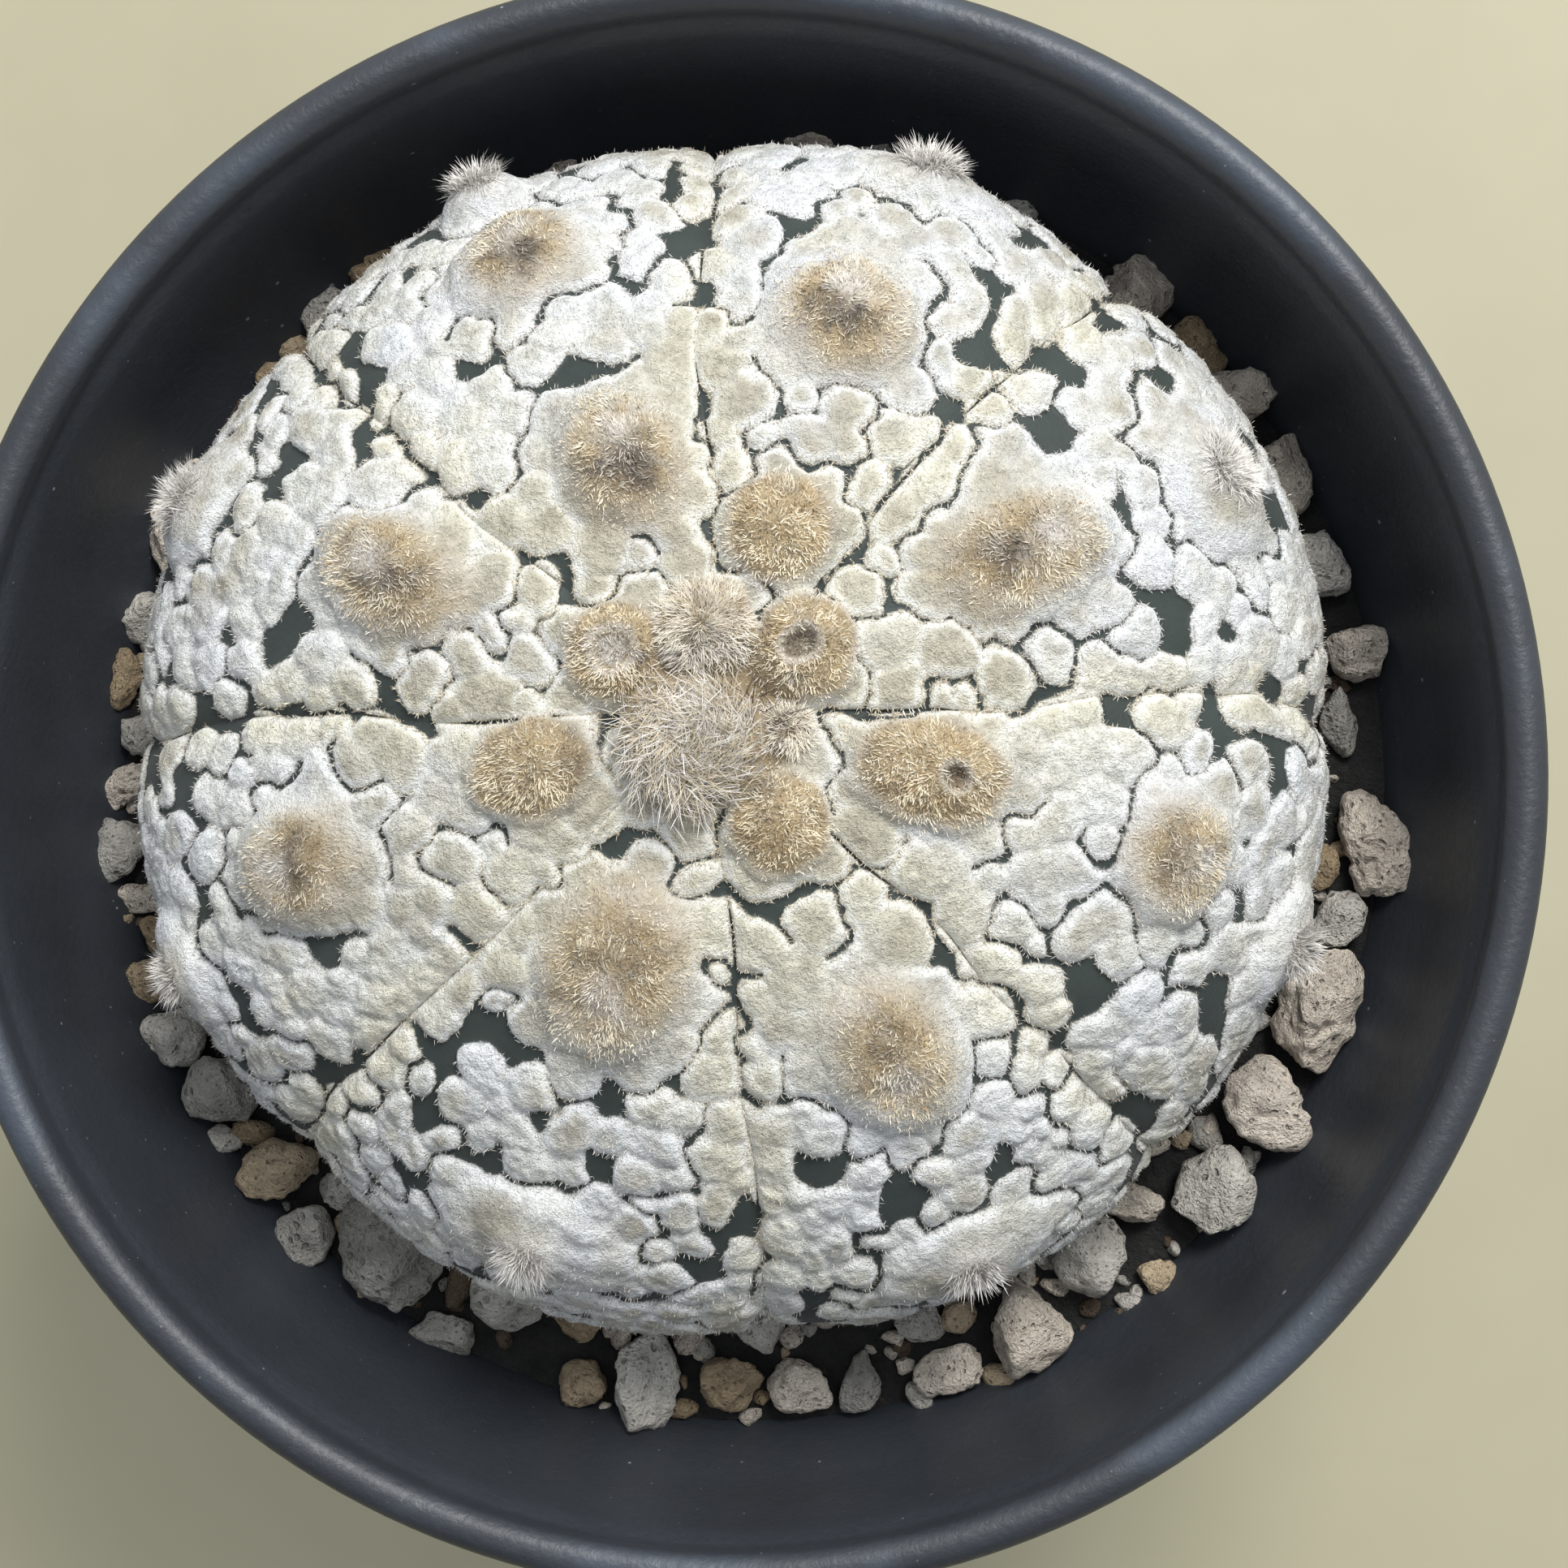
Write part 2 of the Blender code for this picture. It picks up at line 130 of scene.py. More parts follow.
# %% Light
def soft_panel(name, place, size, power, colour):
    """A square area lamp that faces the pot."""
    lamp = bpy.data.lights.new(name, "AREA")
    lamp.size = size
    lamp.energy = power
    lamp.color = colour
    panel = bpy.data.objects.new(name, lamp)
    panel.location = place
    aim_at = Vector((0, 0, RIM_HEIGHT * MM)) - panel.location
    panel.rotation_euler = aim_at.to_track_quat("-Z", "Y").to_euler()
    bpy.context.scene.collection.objects.link(panel)
    return panel


PANEL_PLACE = (0.27, 0.50, 0.84)
PANEL_SIZE = 0.34
PANEL_POWER = 9.6
soft_panel("window", PANEL_PLACE, PANEL_SIZE, PANEL_POWER, (1.0, 0.99, 0.97))


def pale_sky(brightest_toward, dim, bright):
    """A cool sky whose light falls off away from its brightest side."""
    world = bpy.data.worlds.new("pale sky")
    world.use_nodes = True
    nodes, links = world.node_tree.nodes, world.node_tree.links
    way = nodes.new("ShaderNodeTexCoord")
    facing = nodes.new("ShaderNodeVectorMath")
    facing.operation = "DOT_PRODUCT"
    facing.inputs[1].default_value = Vector(brightest_toward).normalized()
    strength = nodes.new("ShaderNodeMapRange")
    for label, value in (("From Min", -0.7), ("From Max", 0.9), ("To Min", dim), ("To Max", bright)):
        strength.inputs[label].default_value = value
    links.new(way.outputs["Generated"], facing.inputs[0])
    links.new(facing.outputs["Value"], strength.inputs["Value"])
    links.new(strength.outputs["Result"], nodes["Background"].inputs["Strength"])
    nodes["Background"].inputs["Color"].default_value = (0.88, 0.93, 1.0, 1.0)
    return world


SKY_TOWARD = (0.25, 0.9, 0.45)
SKY_DIM = 0.14
SKY_BRIGHT = 1.28
bpy.context.scene.world = pale_sky(SKY_TOWARD, SKY_DIM, SKY_BRIGHT)
bpy.context.scene.view_settings.view_transform = "Standard"

# %% [markdown]
# Materials are wired in code. A few short helpers keep that readable: one adds a node and fills its
# inputs by name, one makes a colour ramp, and one opens a new material with its shader.

# %% Node helpers
def add_node(tree, kind, inputs=None, **settings):
    """Add a node, set its properties, then feed each named or numbered input a value or a socket."""
    node = tree.nodes.new(kind)
    for name, value in settings.items():
        setattr(node, name, value)
    for name, value in (inputs or {}).items():
        socket = node.inputs[name]
        if isinstance(value, bpy.types.NodeSocket):
            tree.links.new(value, socket)
        else:
            socket.default_value = value
    return node


def ramp(tree, factor, stops, interpolation="LINEAR"):
    """A colour ramp; stops are (position, colour or grey)."""
    node = add_node(tree, "ShaderNodeValToRGB", {"Fac": factor})
    node.color_ramp.interpolation = interpolation
    elements = node.color_ramp.elements
    while len(elements) < len(stops):
        elements.new(0.5)
    for element, (position, colour) in zip(elements, stops):
        element.position = position
        element.color = (*colour, 1.0) if isinstance(colour, tuple) else (colour, colour, colour, 1.0)
    return node.outputs["Color"]


def math_node(tree, operation, first, second=0.0, clamp=False):
    node = add_node(tree, "ShaderNodeMath", {0: first, 1: second}, operation=operation)
    node.use_clamp = clamp
    return node.outputs[0]


def times(tree, value, factor):
    return math_node(tree, "MULTIPLY", value, factor)


def mix_colour(tree, factor, first, second, blend="MIX"):
    node = add_node(tree, "ShaderNodeMix", data_type="RGBA", blend_type=blend)
    for index, value in ((0, factor), (6, first), (7, second)):
        if isinstance(value, bpy.types.NodeSocket):
            tree.links.new(value, node.inputs[index])
        elif isinstance(value, tuple):
            node.inputs[index].default_value = (*value, 1.0)
        else:
            node.inputs[index].default_value = value
    return node.outputs[2]


def attribute(tree, name):
    """A number that the mesh holds at every point."""
    return add_node(tree, "ShaderNodeAttribute", attribute_name=name).outputs["Fac"]


def smooth_step(tree, value, low, high):
    """0 below low, 1 above high, eased between."""
    node = add_node(tree, "ShaderNodeMapRange", {"Value": value, "From Min": low, "From Max": high},
                    interpolation_type="SMOOTHSTEP")
    return node.outputs["Result"]


def new_material(name):
    """A material with an empty Principled shader, and the object's own coordinates in millimetres."""
    material = bpy.data.materials.new(name)
    material.use_nodes = True
    tree = material.node_tree
    shader = tree.nodes["Principled BSDF"]
    place = add_node(tree, "ShaderNodeTexCoord").outputs["Object"]
    scaled = add_node(tree, "ShaderNodeVectorMath", {0: place, 3: 1.0 / MM}, operation="SCALE")
    return material, tree, shader, scaled.outputs[0]


def bump_into(tree, shader, height, distance):
    """Feed a height to the shader's normal; distance is the height's full swing in metres."""
    bump = add_node(tree, "ShaderNodeBump", {"Height": height, "Distance": distance, "Strength": 1.0})
    tree.links.new(bump.outputs["Normal"], shader.inputs["Normal"])


print("node helpers ready")

# %% [markdown]
# Four surface effects are used by several materials, so each is a node group with named inputs:
# cloudy mottling (felt, wool, stone, plastic), specks (dust on the pot, chips in the mix), pores
# (pumice and clay) and scuffs (pot rim and wall). A group gives out only colours, masks and heights.

# %% Node groups
def new_group(name, inputs, outputs):
    """An empty node group; inputs are (name, kind, value), outputs are (name, kind)."""
    group = bpy.data.node_groups.new(name, "ShaderNodeTree")
    for label, kind, value in inputs:
        socket = group.interface.new_socket(label, in_out="INPUT", socket_type=kind)
        if value is not None:
            socket.default_value = value
    for label, kind in outputs:
        group.interface.new_socket(label, in_out="OUTPUT", socket_type=kind)
    return group, group.nodes.new("NodeGroupInput"), group.nodes.new("NodeGroupOutput")


def make_mottle_group():
    """Soft clouds at a coarse and a fine scale, each given as the size of a cloud in millimetres."""
    group, given, result = new_group(
        "Mottle",
        [("Place", "NodeSocketVector", None), ("Cloud Size", "NodeSocketFloat", 3.0),
         ("Grain Size", "NodeSocketFloat", 0.3), ("Contrast", "NodeSocketFloat", 1.0)],
        [("Cloud", "NodeSocketFloat"), ("Grain", "NodeSocketFloat"), ("Both", "NodeSocketFloat")])
    coarse_scale = math_node(group, "DIVIDE", 1.0, given.outputs["Cloud Size"])
    fine_scale = math_node(group, "DIVIDE", 1.0, given.outputs["Grain Size"])
    coarse = add_node(group, "ShaderNodeTexNoise", {"Vector": given.outputs["Place"], "Scale": coarse_scale,
                                                    "Detail": 4.0, "Roughness": 0.6}).outputs["Fac"]
    fine = add_node(group, "ShaderNodeTexNoise", {"Vector": given.outputs["Place"], "Scale": fine_scale,
                                                  "Detail": 3.0, "Roughness": 0.65}).outputs["Fac"]
    for label, value in (("Cloud", coarse), ("Grain", fine)):
        centred = math_node(group, "SUBTRACT", value, 0.5)
        stretched = times(group, centred, given.outputs["Contrast"])
        raised = math_node(group, "ADD", stretched, 0.5, clamp=True)
        group.links.new(raised, result.inputs[label])
    both = times(group, coarse, fine)
    group.links.new(math_node(group, "MULTIPLY", both, 2.0, clamp=True), result.inputs["Both"])
    return group


def make_speck_group():
    """Separate round specks: their spacing in millimetres, their share of it, and how many show."""
    group, given, result = new_group(
        "Specks",
        [("Place", "NodeSocketVector", None), ("Spacing", "NodeSocketFloat", 3.0),
         ("Size", "NodeSocketFloat", 0.15), ("Amount", "NodeSocketFloat", 0.5)],
        [("Mask", "NodeSocketFloat")])
    scale = math_node(group, "DIVIDE", 1.0, given.outputs["Spacing"])
    cells = add_node(group, "ShaderNodeTexVoronoi", {"Vector": given.outputs["Place"], "Scale": scale,
                                                     "Randomness": 1.0})
    lot = add_node(group, "ShaderNodeSeparateColor", {"Color": cells.outputs["Color"]})
    shown = math_node(group, "LESS_THAN", lot.outputs["Red"], given.outputs["Amount"])
    own_size = times(group, given.outputs["Size"], lot.outputs["Green"])
    inside = add_node(group, "ShaderNodeMapRange",
                      {"Value": cells.outputs["Distance"], "From Min": own_size,
                       "From Max": times(group, own_size, 0.5), "To Min": 0.0, "To Max": 1.0})
    group.links.new(times(group, inside.outputs["Result"], shown), result.inputs["Mask"])
    return group


def make_pore_group():
    """Pits of two sizes over a granular ground, as in frothy stone."""
    group, given, result = new_group(
        "Pores",
        [("Place", "NodeSocketVector", None), ("Pore Size", "NodeSocketFloat", 0.8),
         ("Depth", "NodeSocketFloat", 1.0)],
        [("Pit", "NodeSocketFloat"), ("Height", "NodeSocketFloat")])
    big_scale = math_node(group, "DIVIDE", 1.0, given.outputs["Pore Size"])
    small_scale = times(group, big_scale, 2.7)
    bend = add_node(group, "ShaderNodeTexNoise", {"Vector": given.outputs["Place"], "Scale": big_scale,
                                                  "Detail": 2.0})
    bent = add_node(group, "ShaderNodeVectorMath", {0: bend.outputs["Color"], 3: 0.9}, operation="SCALE")
    moved = add_node(group, "ShaderNodeVectorMath", {0: given.outputs["Place"], 1: bent.outputs[0]},
                     operation="ADD").outputs[0]
    big = add_node(group, "ShaderNodeTexVoronoi", {"Vector": moved, "Scale": big_scale}).outputs["Distance"]
    small = add_node(group, "ShaderNodeTexVoronoi",
                     {"Vector": moved, "Scale": small_scale}).outputs["Distance"]
    big_pit = smooth_step(group, big, 0.27, 0.12)
    small_pit = smooth_step(group, small, 0.27, 0.10)
    pit = math_node(group, "MAXIMUM", big_pit, times(group, small_pit, 0.6))
    ground = add_node(group, "ShaderNodeTexNoise", {"Vector": moved, "Scale": small_scale, "Detail": 4.0,
                                                    "Roughness": 0.7}).outputs["Fac"]
    deep = times(group, pit, given.outputs["Depth"])
    group.links.new(pit, result.inputs["Pit"])
    group.links.new(math_node(group, "SUBTRACT", ground, deep), result.inputs["Height"])
    return group


def make_scuff_group():
    """Fine scratches that run round the pot, broken into patches."""
    group, given, result = new_group(
        "Scuffs",
        [("Place", "NodeSocketVector", None), ("Fineness", "NodeSocketFloat", 1.0),
         ("Amount", "NodeSocketFloat", 0.5)],
        [("Mask", "NodeSocketFloat")])
    spread = add_node(group, "ShaderNodeMapping",
                      {"Vector": given.outputs["Place"], "Scale": (0.35, 0.35, 4.0)})
    lines = add_node(group, "ShaderNodeTexNoise",
                     {"Vector": spread.outputs[0], "Scale": given.outputs["Fineness"], "Detail": 5.0,
                      "Roughness": 0.75, "Distortion": 0.6})
    patches = add_node(group, "ShaderNodeTexNoise", {"Vector": given.outputs["Place"], "Scale": 0.06,
                                                     "Detail": 3.0})
    thin = smooth_step(group, lines.outputs["Fac"], 0.60, 0.74)
    place = smooth_step(group, patches.outputs["Fac"], 0.42, 0.68)
    kept = times(group, thin, place)
    group.links.new(times(group, kept, given.outputs["Amount"]), result.inputs["Mask"])
    return group


MOTTLE = make_mottle_group()
SPECKS = make_speck_group()
PORES = make_pore_group()
SCUFFS = make_scuff_group()


def place_group(tree, group, **inputs):
    """Put a group in a material; an underscore in an input's name stands for a space."""
    node = tree.nodes.new("ShaderNodeGroup")
    node.node_tree = group
    for name, value in inputs.items():
        socket = node.inputs[name.replace("_", " ")]
        if isinstance(value, bpy.types.NodeSocket):
            tree.links.new(value, socket)
        else:
            socket.default_value = value
    return node


print("node groups", [g.name for g in bpy.data.node_groups])

# %% [markdown]
# The floor is a plain pale sheet. It isn't part of the object, so it is marked as stage.

# %% Floor
FLOOR_HALF = 1.2
floor_mesh = bpy.data.meshes.new("floor")
bm = bmesh.new()
bmesh.ops.create_grid(bm, x_segments=2, y_segments=2, size=FLOOR_HALF)
bm.to_mesh(floor_mesh)
bm.free()
floor = bpy.data.objects.new("floor", floor_mesh)
bpy.context.scene.collection.objects.link(floor)
floor_finish, tree, shader, place = new_material("pale_floor")
clouds = place_group(tree, MOTTLE, Place=place, Cloud_Size=60.0, Grain_Size=2.0, Contrast=0.8)
tone = ramp(tree, clouds.outputs["Cloud"], [(0.2, (0.35, 0.32, 0.21)), (0.8, (0.42, 0.39, 0.265))])
tree.links.new(tone, shader.inputs["Base Color"])
shader.inputs["Roughness"].default_value = 0.6
floor_mesh.materials.append(floor_finish)
floor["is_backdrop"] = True
print("floor ready")

# %% [markdown]
# Two numpy helpers serve every organic shape. Noise on a lattice gives each point in space a
# repeatable smooth number, much as a noise texture does, but early enough to move vertices with it.
# The second helper turns arrays of points and triangles into a smooth-shaded object.

# %% Numpy helpers
def corner_value(x, y, z, seed):
    """A repeatable number from -1 to 1 for each corner of the lattice."""
    mixed = (x * 374761393 + y * 668265263 + z * 1440662683 + seed * 974634777) & 0xFFFFFFFF
    mixed = ((mixed ^ (mixed >> 13)) * 1274126177) & 0xFFFFFFFF
    return ((mixed ^ (mixed >> 16)) & 0xFFFF) / 32767.5 - 1.0


def soft_noise(points, size, seed=0):
    """Smooth noise from -1 to 1 at each point; size is a bump's width in millimetres."""
    scaled = points / size
    cell = np.floor(scaled).astype(np.int64)
    part = scaled - cell
    part = part * part * (3.0 - 2.0 * part)
    total = np.zeros(len(points))
    for dx in (0, 1):
        for dy in (0, 1):
            for dz in (0, 1):
                weight = ((part[:, 0] if dx else 1 - part[:, 0]) * (part[:, 1] if dy else 1 - part[:, 1])
                          * (part[:, 2] if dz else 1 - part[:, 2]))
                total += weight * corner_value(cell[:, 0] + dx, cell[:, 1] + dy, cell[:, 2] + dz, seed)
    return total


def layered_noise(points, size, layers=3, seed=0):
    """Several layers of soft noise, each half as wide and half as strong as the one before."""
    total = np.zeros(len(points))
    for layer in range(layers):
        total += soft_noise(points, size / 2 ** layer, seed + 31 * layer) / 2 ** layer
    return total


def noise_vector(points, size, seed=0):
    return np.stack([soft_noise(points, size, seed + 100 * axis) for axis in range(3)], axis=1)


def unit(vectors):
    return vectors / np.maximum(np.linalg.norm(vectors, axis=-1, keepdims=True), 1e-9)


def ease(value, low, high):
    """0 below low, 1 above high, eased between."""
    share = np.clip((value - low) / (high - low), 0.0, 1.0)
    return share * share * (3.0 - 2.0 * share)


def mesh_object(name, points, faces, material, numbers=None, smooth=True):
    """An object from points in millimetres; numbers are named values kept at every point."""
    mesh = bpy.data.meshes.new(name)
    mesh.from_pydata((points * MM).tolist(), [], faces.tolist() if hasattr(faces, "tolist") else faces)
    for label, values in (numbers or {}).items():
        kept = mesh.attributes.new(label, "FLOAT", "POINT")
        kept.data.foreach_set("value", np.asarray(values, np.float32))
    if smooth:
        mesh.shade_smooth()
    mesh.materials.append(material)
    mesh.update()
    made = bpy.data.objects.new(name, mesh)
    bpy.context.scene.collection.objects.link(made)
    return made


def settle_in(piece, slot, *nodes):
    """Let a piece ride on the one body and stand for CAD nodes; the slot is not used."""
    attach(piece, "root")
    if nodes:
        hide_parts(*nodes)
    return piece


print("numpy helpers ready")

# %% [markdown]
# The pot is moulded plastic: a tapering wall, a rolled rim with a round section, a soft step just
# inside it, and an inner wall that curves in where it meets the mix. All of it is turned, so a list
# of radius and height pairs is spun round the axis. The drain holes are cut with a Boolean. It can
# hand its points and faces over in another order each run, so they are sorted afterwards.

# %% Pot shape
BEAD = 1.9              # radius of the rolled rim
WALL = 1.8
TAPER = math.tan(math.radians(7.1))
POT_STEPS = 192
STEP_IN = 3.4           # how far the inner wall comes in at the mix, and over what height
STEP_HEIGHT = 11.0
FLOOR_TOP = 4.5
FLOOR_UNDER = 2.5
CORNER = 3.0            # rounding between the floor and the wall
HOLE_RING = 30.0
HOLE_RADIUS = 3.5
HOLES = 6


def outer_wall(height):
    return RIM_RADIUS - BEAD - (RIM_HEIGHT - height) * TAPER


def inner_wall(height):
    """The inside steps in softly where it reaches the mix."""
    share = min(max((height - MIX_TOP) / STEP_HEIGHT, 0.0), 1.0)
    return outer_wall(height) - WALL - STEP_IN * (1.0 - share) ** 2


def pot_outline():
    """Half section, from the inner edge of the floor, up the inside, over the rim and down outside."""
    outline = [(0.0, FLOOR_TOP), (HOLE_RING, FLOOR_TOP), (outer_wall(FLOOR_TOP) - WALL - CORNER, FLOOR_TOP)]
    corner_x = outer_wall(FLOOR_TOP + CORNER) - WALL - CORNER
    for step in range(1, 6):
        turn = math.radians(90.0 * step / 5)
        outline.append((corner_x + CORNER * math.sin(turn), FLOOR_TOP + CORNER - CORNER * math.cos(turn)))
    for height in (12.0, 40.0, MIX_TOP - 3.0):
        outline.append((outer_wall(height) - WALL, height))
    for height in np.linspace(MIX_TOP - 1.0, MIX_TOP + STEP_HEIGHT, 9):
        outline.append((inner_wall(height), height))
    outline += [(outer_wall(height) - WALL, height) for height in (RIM_HEIGHT - 12.0, RIM_HEIGHT - 7.0)]
    outline.append((outer_wall(RIM_HEIGHT - 5.0) - WALL + 0.05, RIM_HEIGHT - 5.2))
    outline.append((outer_wall(RIM_HEIGHT - 4.4) - WALL + 0.45, RIM_HEIGHT - 4.4))
    outline.append((outer_wall(RIM_HEIGHT - 3.4) - WALL + 0.60, RIM_HEIGHT - 3.4))
    bead_x = RIM_RADIUS - BEAD
    bead_z = RIM_HEIGHT - BEAD
    for step in range(15):
        turn = math.radians(165.0 - 255.0 * step / 14)
        outline.append((bead_x + BEAD * math.cos(turn), bead_z + BEAD * math.sin(turn)))
    outline.append((outer_wall(RIM_HEIGHT - 5.0) + 0.1, RIM_HEIGHT - 4.6))
    for height in np.linspace(RIM_HEIGHT - 8.0, 3.0, 8):
        outline.append((outer_wall(height), height))
    outline += [(outer_wall(0.0) - 0.4, 0.9), (outer_wall(0.0) - 1.2, 0.0), (outer_wall(0.0) - 6.0, 0.0)]
    outline += [(outer_wall(0.0) - 7.0, 0.7), (outer_wall(0.0) - 7.4, FLOOR_UNDER)]
    outline += [(HOLE_RING, FLOOR_UNDER), (0.0, FLOOR_UNDER)]
    return outline


def turned_mesh(name, outline, steps):
    """Spin an outline round Z."""
    bm = bmesh.new()
    ring = [bm.verts.new((radius * MM, 0.0, height * MM)) for radius, height in outline]
    edges = [bm.edges.new(pair) for pair in zip(ring, ring[1:])]
    bmesh.ops.spin(bm, geom=ring + edges, axis=(0, 0, 1), cent=(0, 0, 0), steps=steps, angle=2 * math.pi,
                   use_merge=True)
    bmesh.ops.remove_doubles(bm, verts=bm.verts, dist=1e-6)
    bmesh.ops.recalc_face_normals(bm, faces=bm.faces)
    mesh = bpy.data.meshes.new(name)
    bm.to_mesh(mesh)
    bm.free()
    return mesh


pot_mesh = turned_mesh("pot_shell", pot_outline(), POT_STEPS)
pot_shell = bpy.data.objects.new("pot_shell", pot_mesh)
bpy.context.scene.collection.objects.link(pot_shell)


def in_fixed_order(mesh):
    """The same mesh with its points, its faces and each face's first corner in sorted order.

    A cut can leave two points in one place, so the faces round them decide which comes first.
    """
    places = [tuple(vertex.co) for vertex in mesh.vertices]
    faces_round = [[] for _ in places]
    for polygon in mesh.polygons:
        outline = sorted(places[index] for index in polygon.vertices)
        for index in polygon.vertices:
            faces_round[index].append(outline)
    order = sorted(range(len(places)), key=lambda index: (places[index], sorted(faces_round[index])))
    new_index = {old: new for new, old in enumerate(order)}
    faces = []
    for polygon in mesh.polygons:
        corners = [new_index[index] for index in polygon.vertices]
        first = corners.index(min(corners))
        faces.append(corners[first:] + corners[:first])
    ordered = bpy.data.meshes.new(mesh.name)
    ordered.from_pydata([places[index] for index in order], [], sorted(faces))
    bpy.data.meshes.remove(mesh)
    return ordered


def cut_drain_holes(pot):
    """Drill the floor, then keep the cut mesh and drop the drill."""
    bm = bmesh.new()
    middle = (FLOOR_TOP + FLOOR_UNDER) / 2
    for index in range(HOLES):
        turn = 2 * math.pi * index / HOLES
        hole = Vector((HOLE_RING * math.cos(turn), HOLE_RING * math.sin(turn), middle))
        place = Matrix.Translation(hole * MM)
        bmesh.ops.create_cone(bm, cap_ends=True, segments=24, radius1=HOLE_RADIUS * MM,
                              radius2=HOLE_RADIUS * MM, depth=10 * MM, matrix=place)
    drill_mesh = bpy.data.meshes.new("drill")
    bm.to_mesh(drill_mesh)
    bm.free()
    drill = bpy.data.objects.new("drill", drill_mesh)
    bpy.context.scene.collection.objects.link(drill)
    cut = pot.modifiers.new("drain holes", "BOOLEAN")
    cut.object = drill
    cut.operation = "DIFFERENCE"
    bpy.context.view_layer.update()
    whole = pot.evaluated_get(bpy.context.evaluated_depsgraph_get())
    pot.data = in_fixed_order(bpy.data.meshes.new_from_object(whole))
    pot.modifiers.clear()
    bpy.data.objects.remove(drill, do_unlink=True)


cut_drain_holes(pot_shell)
pot_shell.data.shade_smooth()
pot_shell.data.set_sharp_from_angle(angle=math.radians(40))
print("pot shell faces", len(pot_shell.data.polygons))

# %% [markdown]
# The plastic is nearly black with a blue cast. Handling has left it dusty: pale specks, a haze in
# clouds, and fine scratches that run round the wall. The top of the rim is lighter, partly rubbed wear
# and partly a painted highlight. All of these are masks over one Principled shader, so the dust can
# raise the roughness as well as the colour.

# %% Pot finish
pot_finish, tree, shader, place = new_material("pot_plastic")
haze = place_group(tree, MOTTLE, Place=place, Cloud_Size=22.0, Grain_Size=0.9, Contrast=1.6)
dust = place_group(tree, SPECKS, Place=place, Spacing=3.4, Size=0.10, Amount=0.42)
fine_dust = place_group(tree, SPECKS, Place=place, Spacing=1.1, Size=0.15, Amount=0.32)
scratches = place_group(tree, SCUFFS, Place=place, Fineness=1.4, Amount=0.8)
height = add_node(tree, "ShaderNodeSeparateXYZ", {0: place}).outputs["Z"]
rim = smooth_step(tree, height, RIM_HEIGHT - 1.2, RIM_HEIGHT - 0.1)
# the top of the rim is lightened: partly rubbed wear, partly a painted highlight
rub_and_highlight = times(tree, rim, smooth_step(tree, haze.outputs["Cloud"], 0.40, 0.72))
plain = mix_colour(tree, haze.outputs["Cloud"], (0.019, 0.022, 0.027), (0.034, 0.039, 0.047))
rubbed_and_highlit = mix_colour(tree, times(tree, rub_and_highlight, 0.40), plain, (0.070, 0.088, 0.120))
scratched = mix_colour(tree, times(tree, scratches.outputs["Mask"], 0.35), rubbed_and_highlit,
                       (0.16, 0.18, 0.21))
specks = math_node(tree, "MAXIMUM", dust.outputs["Mask"],
                   times(tree, fine_dust.outputs["Mask"], 0.45))
dusty = mix_colour(tree, times(tree, specks, 0.55), scratched, (0.36, 0.37, 0.38))
tree.links.new(dusty, shader.inputs["Base Color"])
rough = math_node(tree, "ADD", times(tree, haze.outputs["Grain"], 0.16), 0.40)
tree.links.new(math_node(tree, "ADD", rough, times(tree, specks, 0.3), clamp=True),
               shader.inputs["Roughness"])
skin_bump = math_node(tree, "ADD", haze.outputs["Grain"], times(tree, specks, 0.5))
bump_into(tree, shader, skin_bump, 0.00006)
pot_shell.data.materials.clear()
pot_shell.data.materials.append(pot_finish)
settle_in(pot_shell, "pot_plastic", "pot")
print("pot finished")

# %% [markdown]
# The plant's form comes first, bare of felt. A meridian runs from the crown over the shoulder and
# under the belly; it is measured by its own length, so that details keep their size wherever they
# sit. Ribs are not equal: the eight grooves stand where this plant has them. Nor is the plant round:
# felt fills it out a little, and it bulges toward one side.

# %% Bare form of the plant
GROOVES = np.radians([2.0, 49.0, 91.0, 139.0, 180.0, 224.0, 274.0, 315.0])
DOME_POWER = 2.3
DOME_ROUNDING = 0.6
DOME_POINTS = 500
BELLY_RADIUS = 27.0
BELLY_HEIGHT = MIX_TOP + 1.3
BROAD_STRAY = 1.5       # grooves stray this far in wide bends and in short ones
BROAD_BEND = 17.0
FINE_STRAY = 0.45
FINE_BEND = 6.0


def meridian():
    """Radius and height along a rib's back, crown to belly, with the length run so far."""
    turn = np.linspace(0.0, math.pi / 2, DOME_POINTS)
    radius = PLANT_RADIUS * np.sin(turn)
    share = np.clip(radius / PLANT_RADIUS, 0, 1)
    height = EQUATOR + (CROWN - EQUATOR) * (1.0 - share ** DOME_POWER) ** DOME_ROUNDING
    under = np.linspace(0.0, math.pi / 2, 200)[1:]
    radius = np.append(radius, BELLY_RADIUS + (PLANT_RADIUS - BELLY_RADIUS) * np.cos(under))
    height = np.append(height, EQUATOR - (EQUATOR - BELLY_HEIGHT) * np.sin(under))
    run = np.append(0.0, np.cumsum(np.hypot(np.diff(radius), np.diff(height))))
    return run, radius, height


FULLNESS = 0.3          # felt and wool make the plant this much fuller than its bare box
LEAN = 1.2              # and it bulges this much more on its light-starved side
LEAN_TOWARD = math.radians(205.0)
RUN, RUN_RADIUS, RUN_HEIGHT = meridian()
RUN_END = RUN[-1]
SHOULDER = RUN[DOME_POINTS - 1]


def run_of_radius(radius):
    """Length along the meridian at which the top of the dome reaches a radius."""
    return float(np.interp(radius, RUN_RADIUS[:DOME_POINTS], RUN[:DOME_POINTS]))


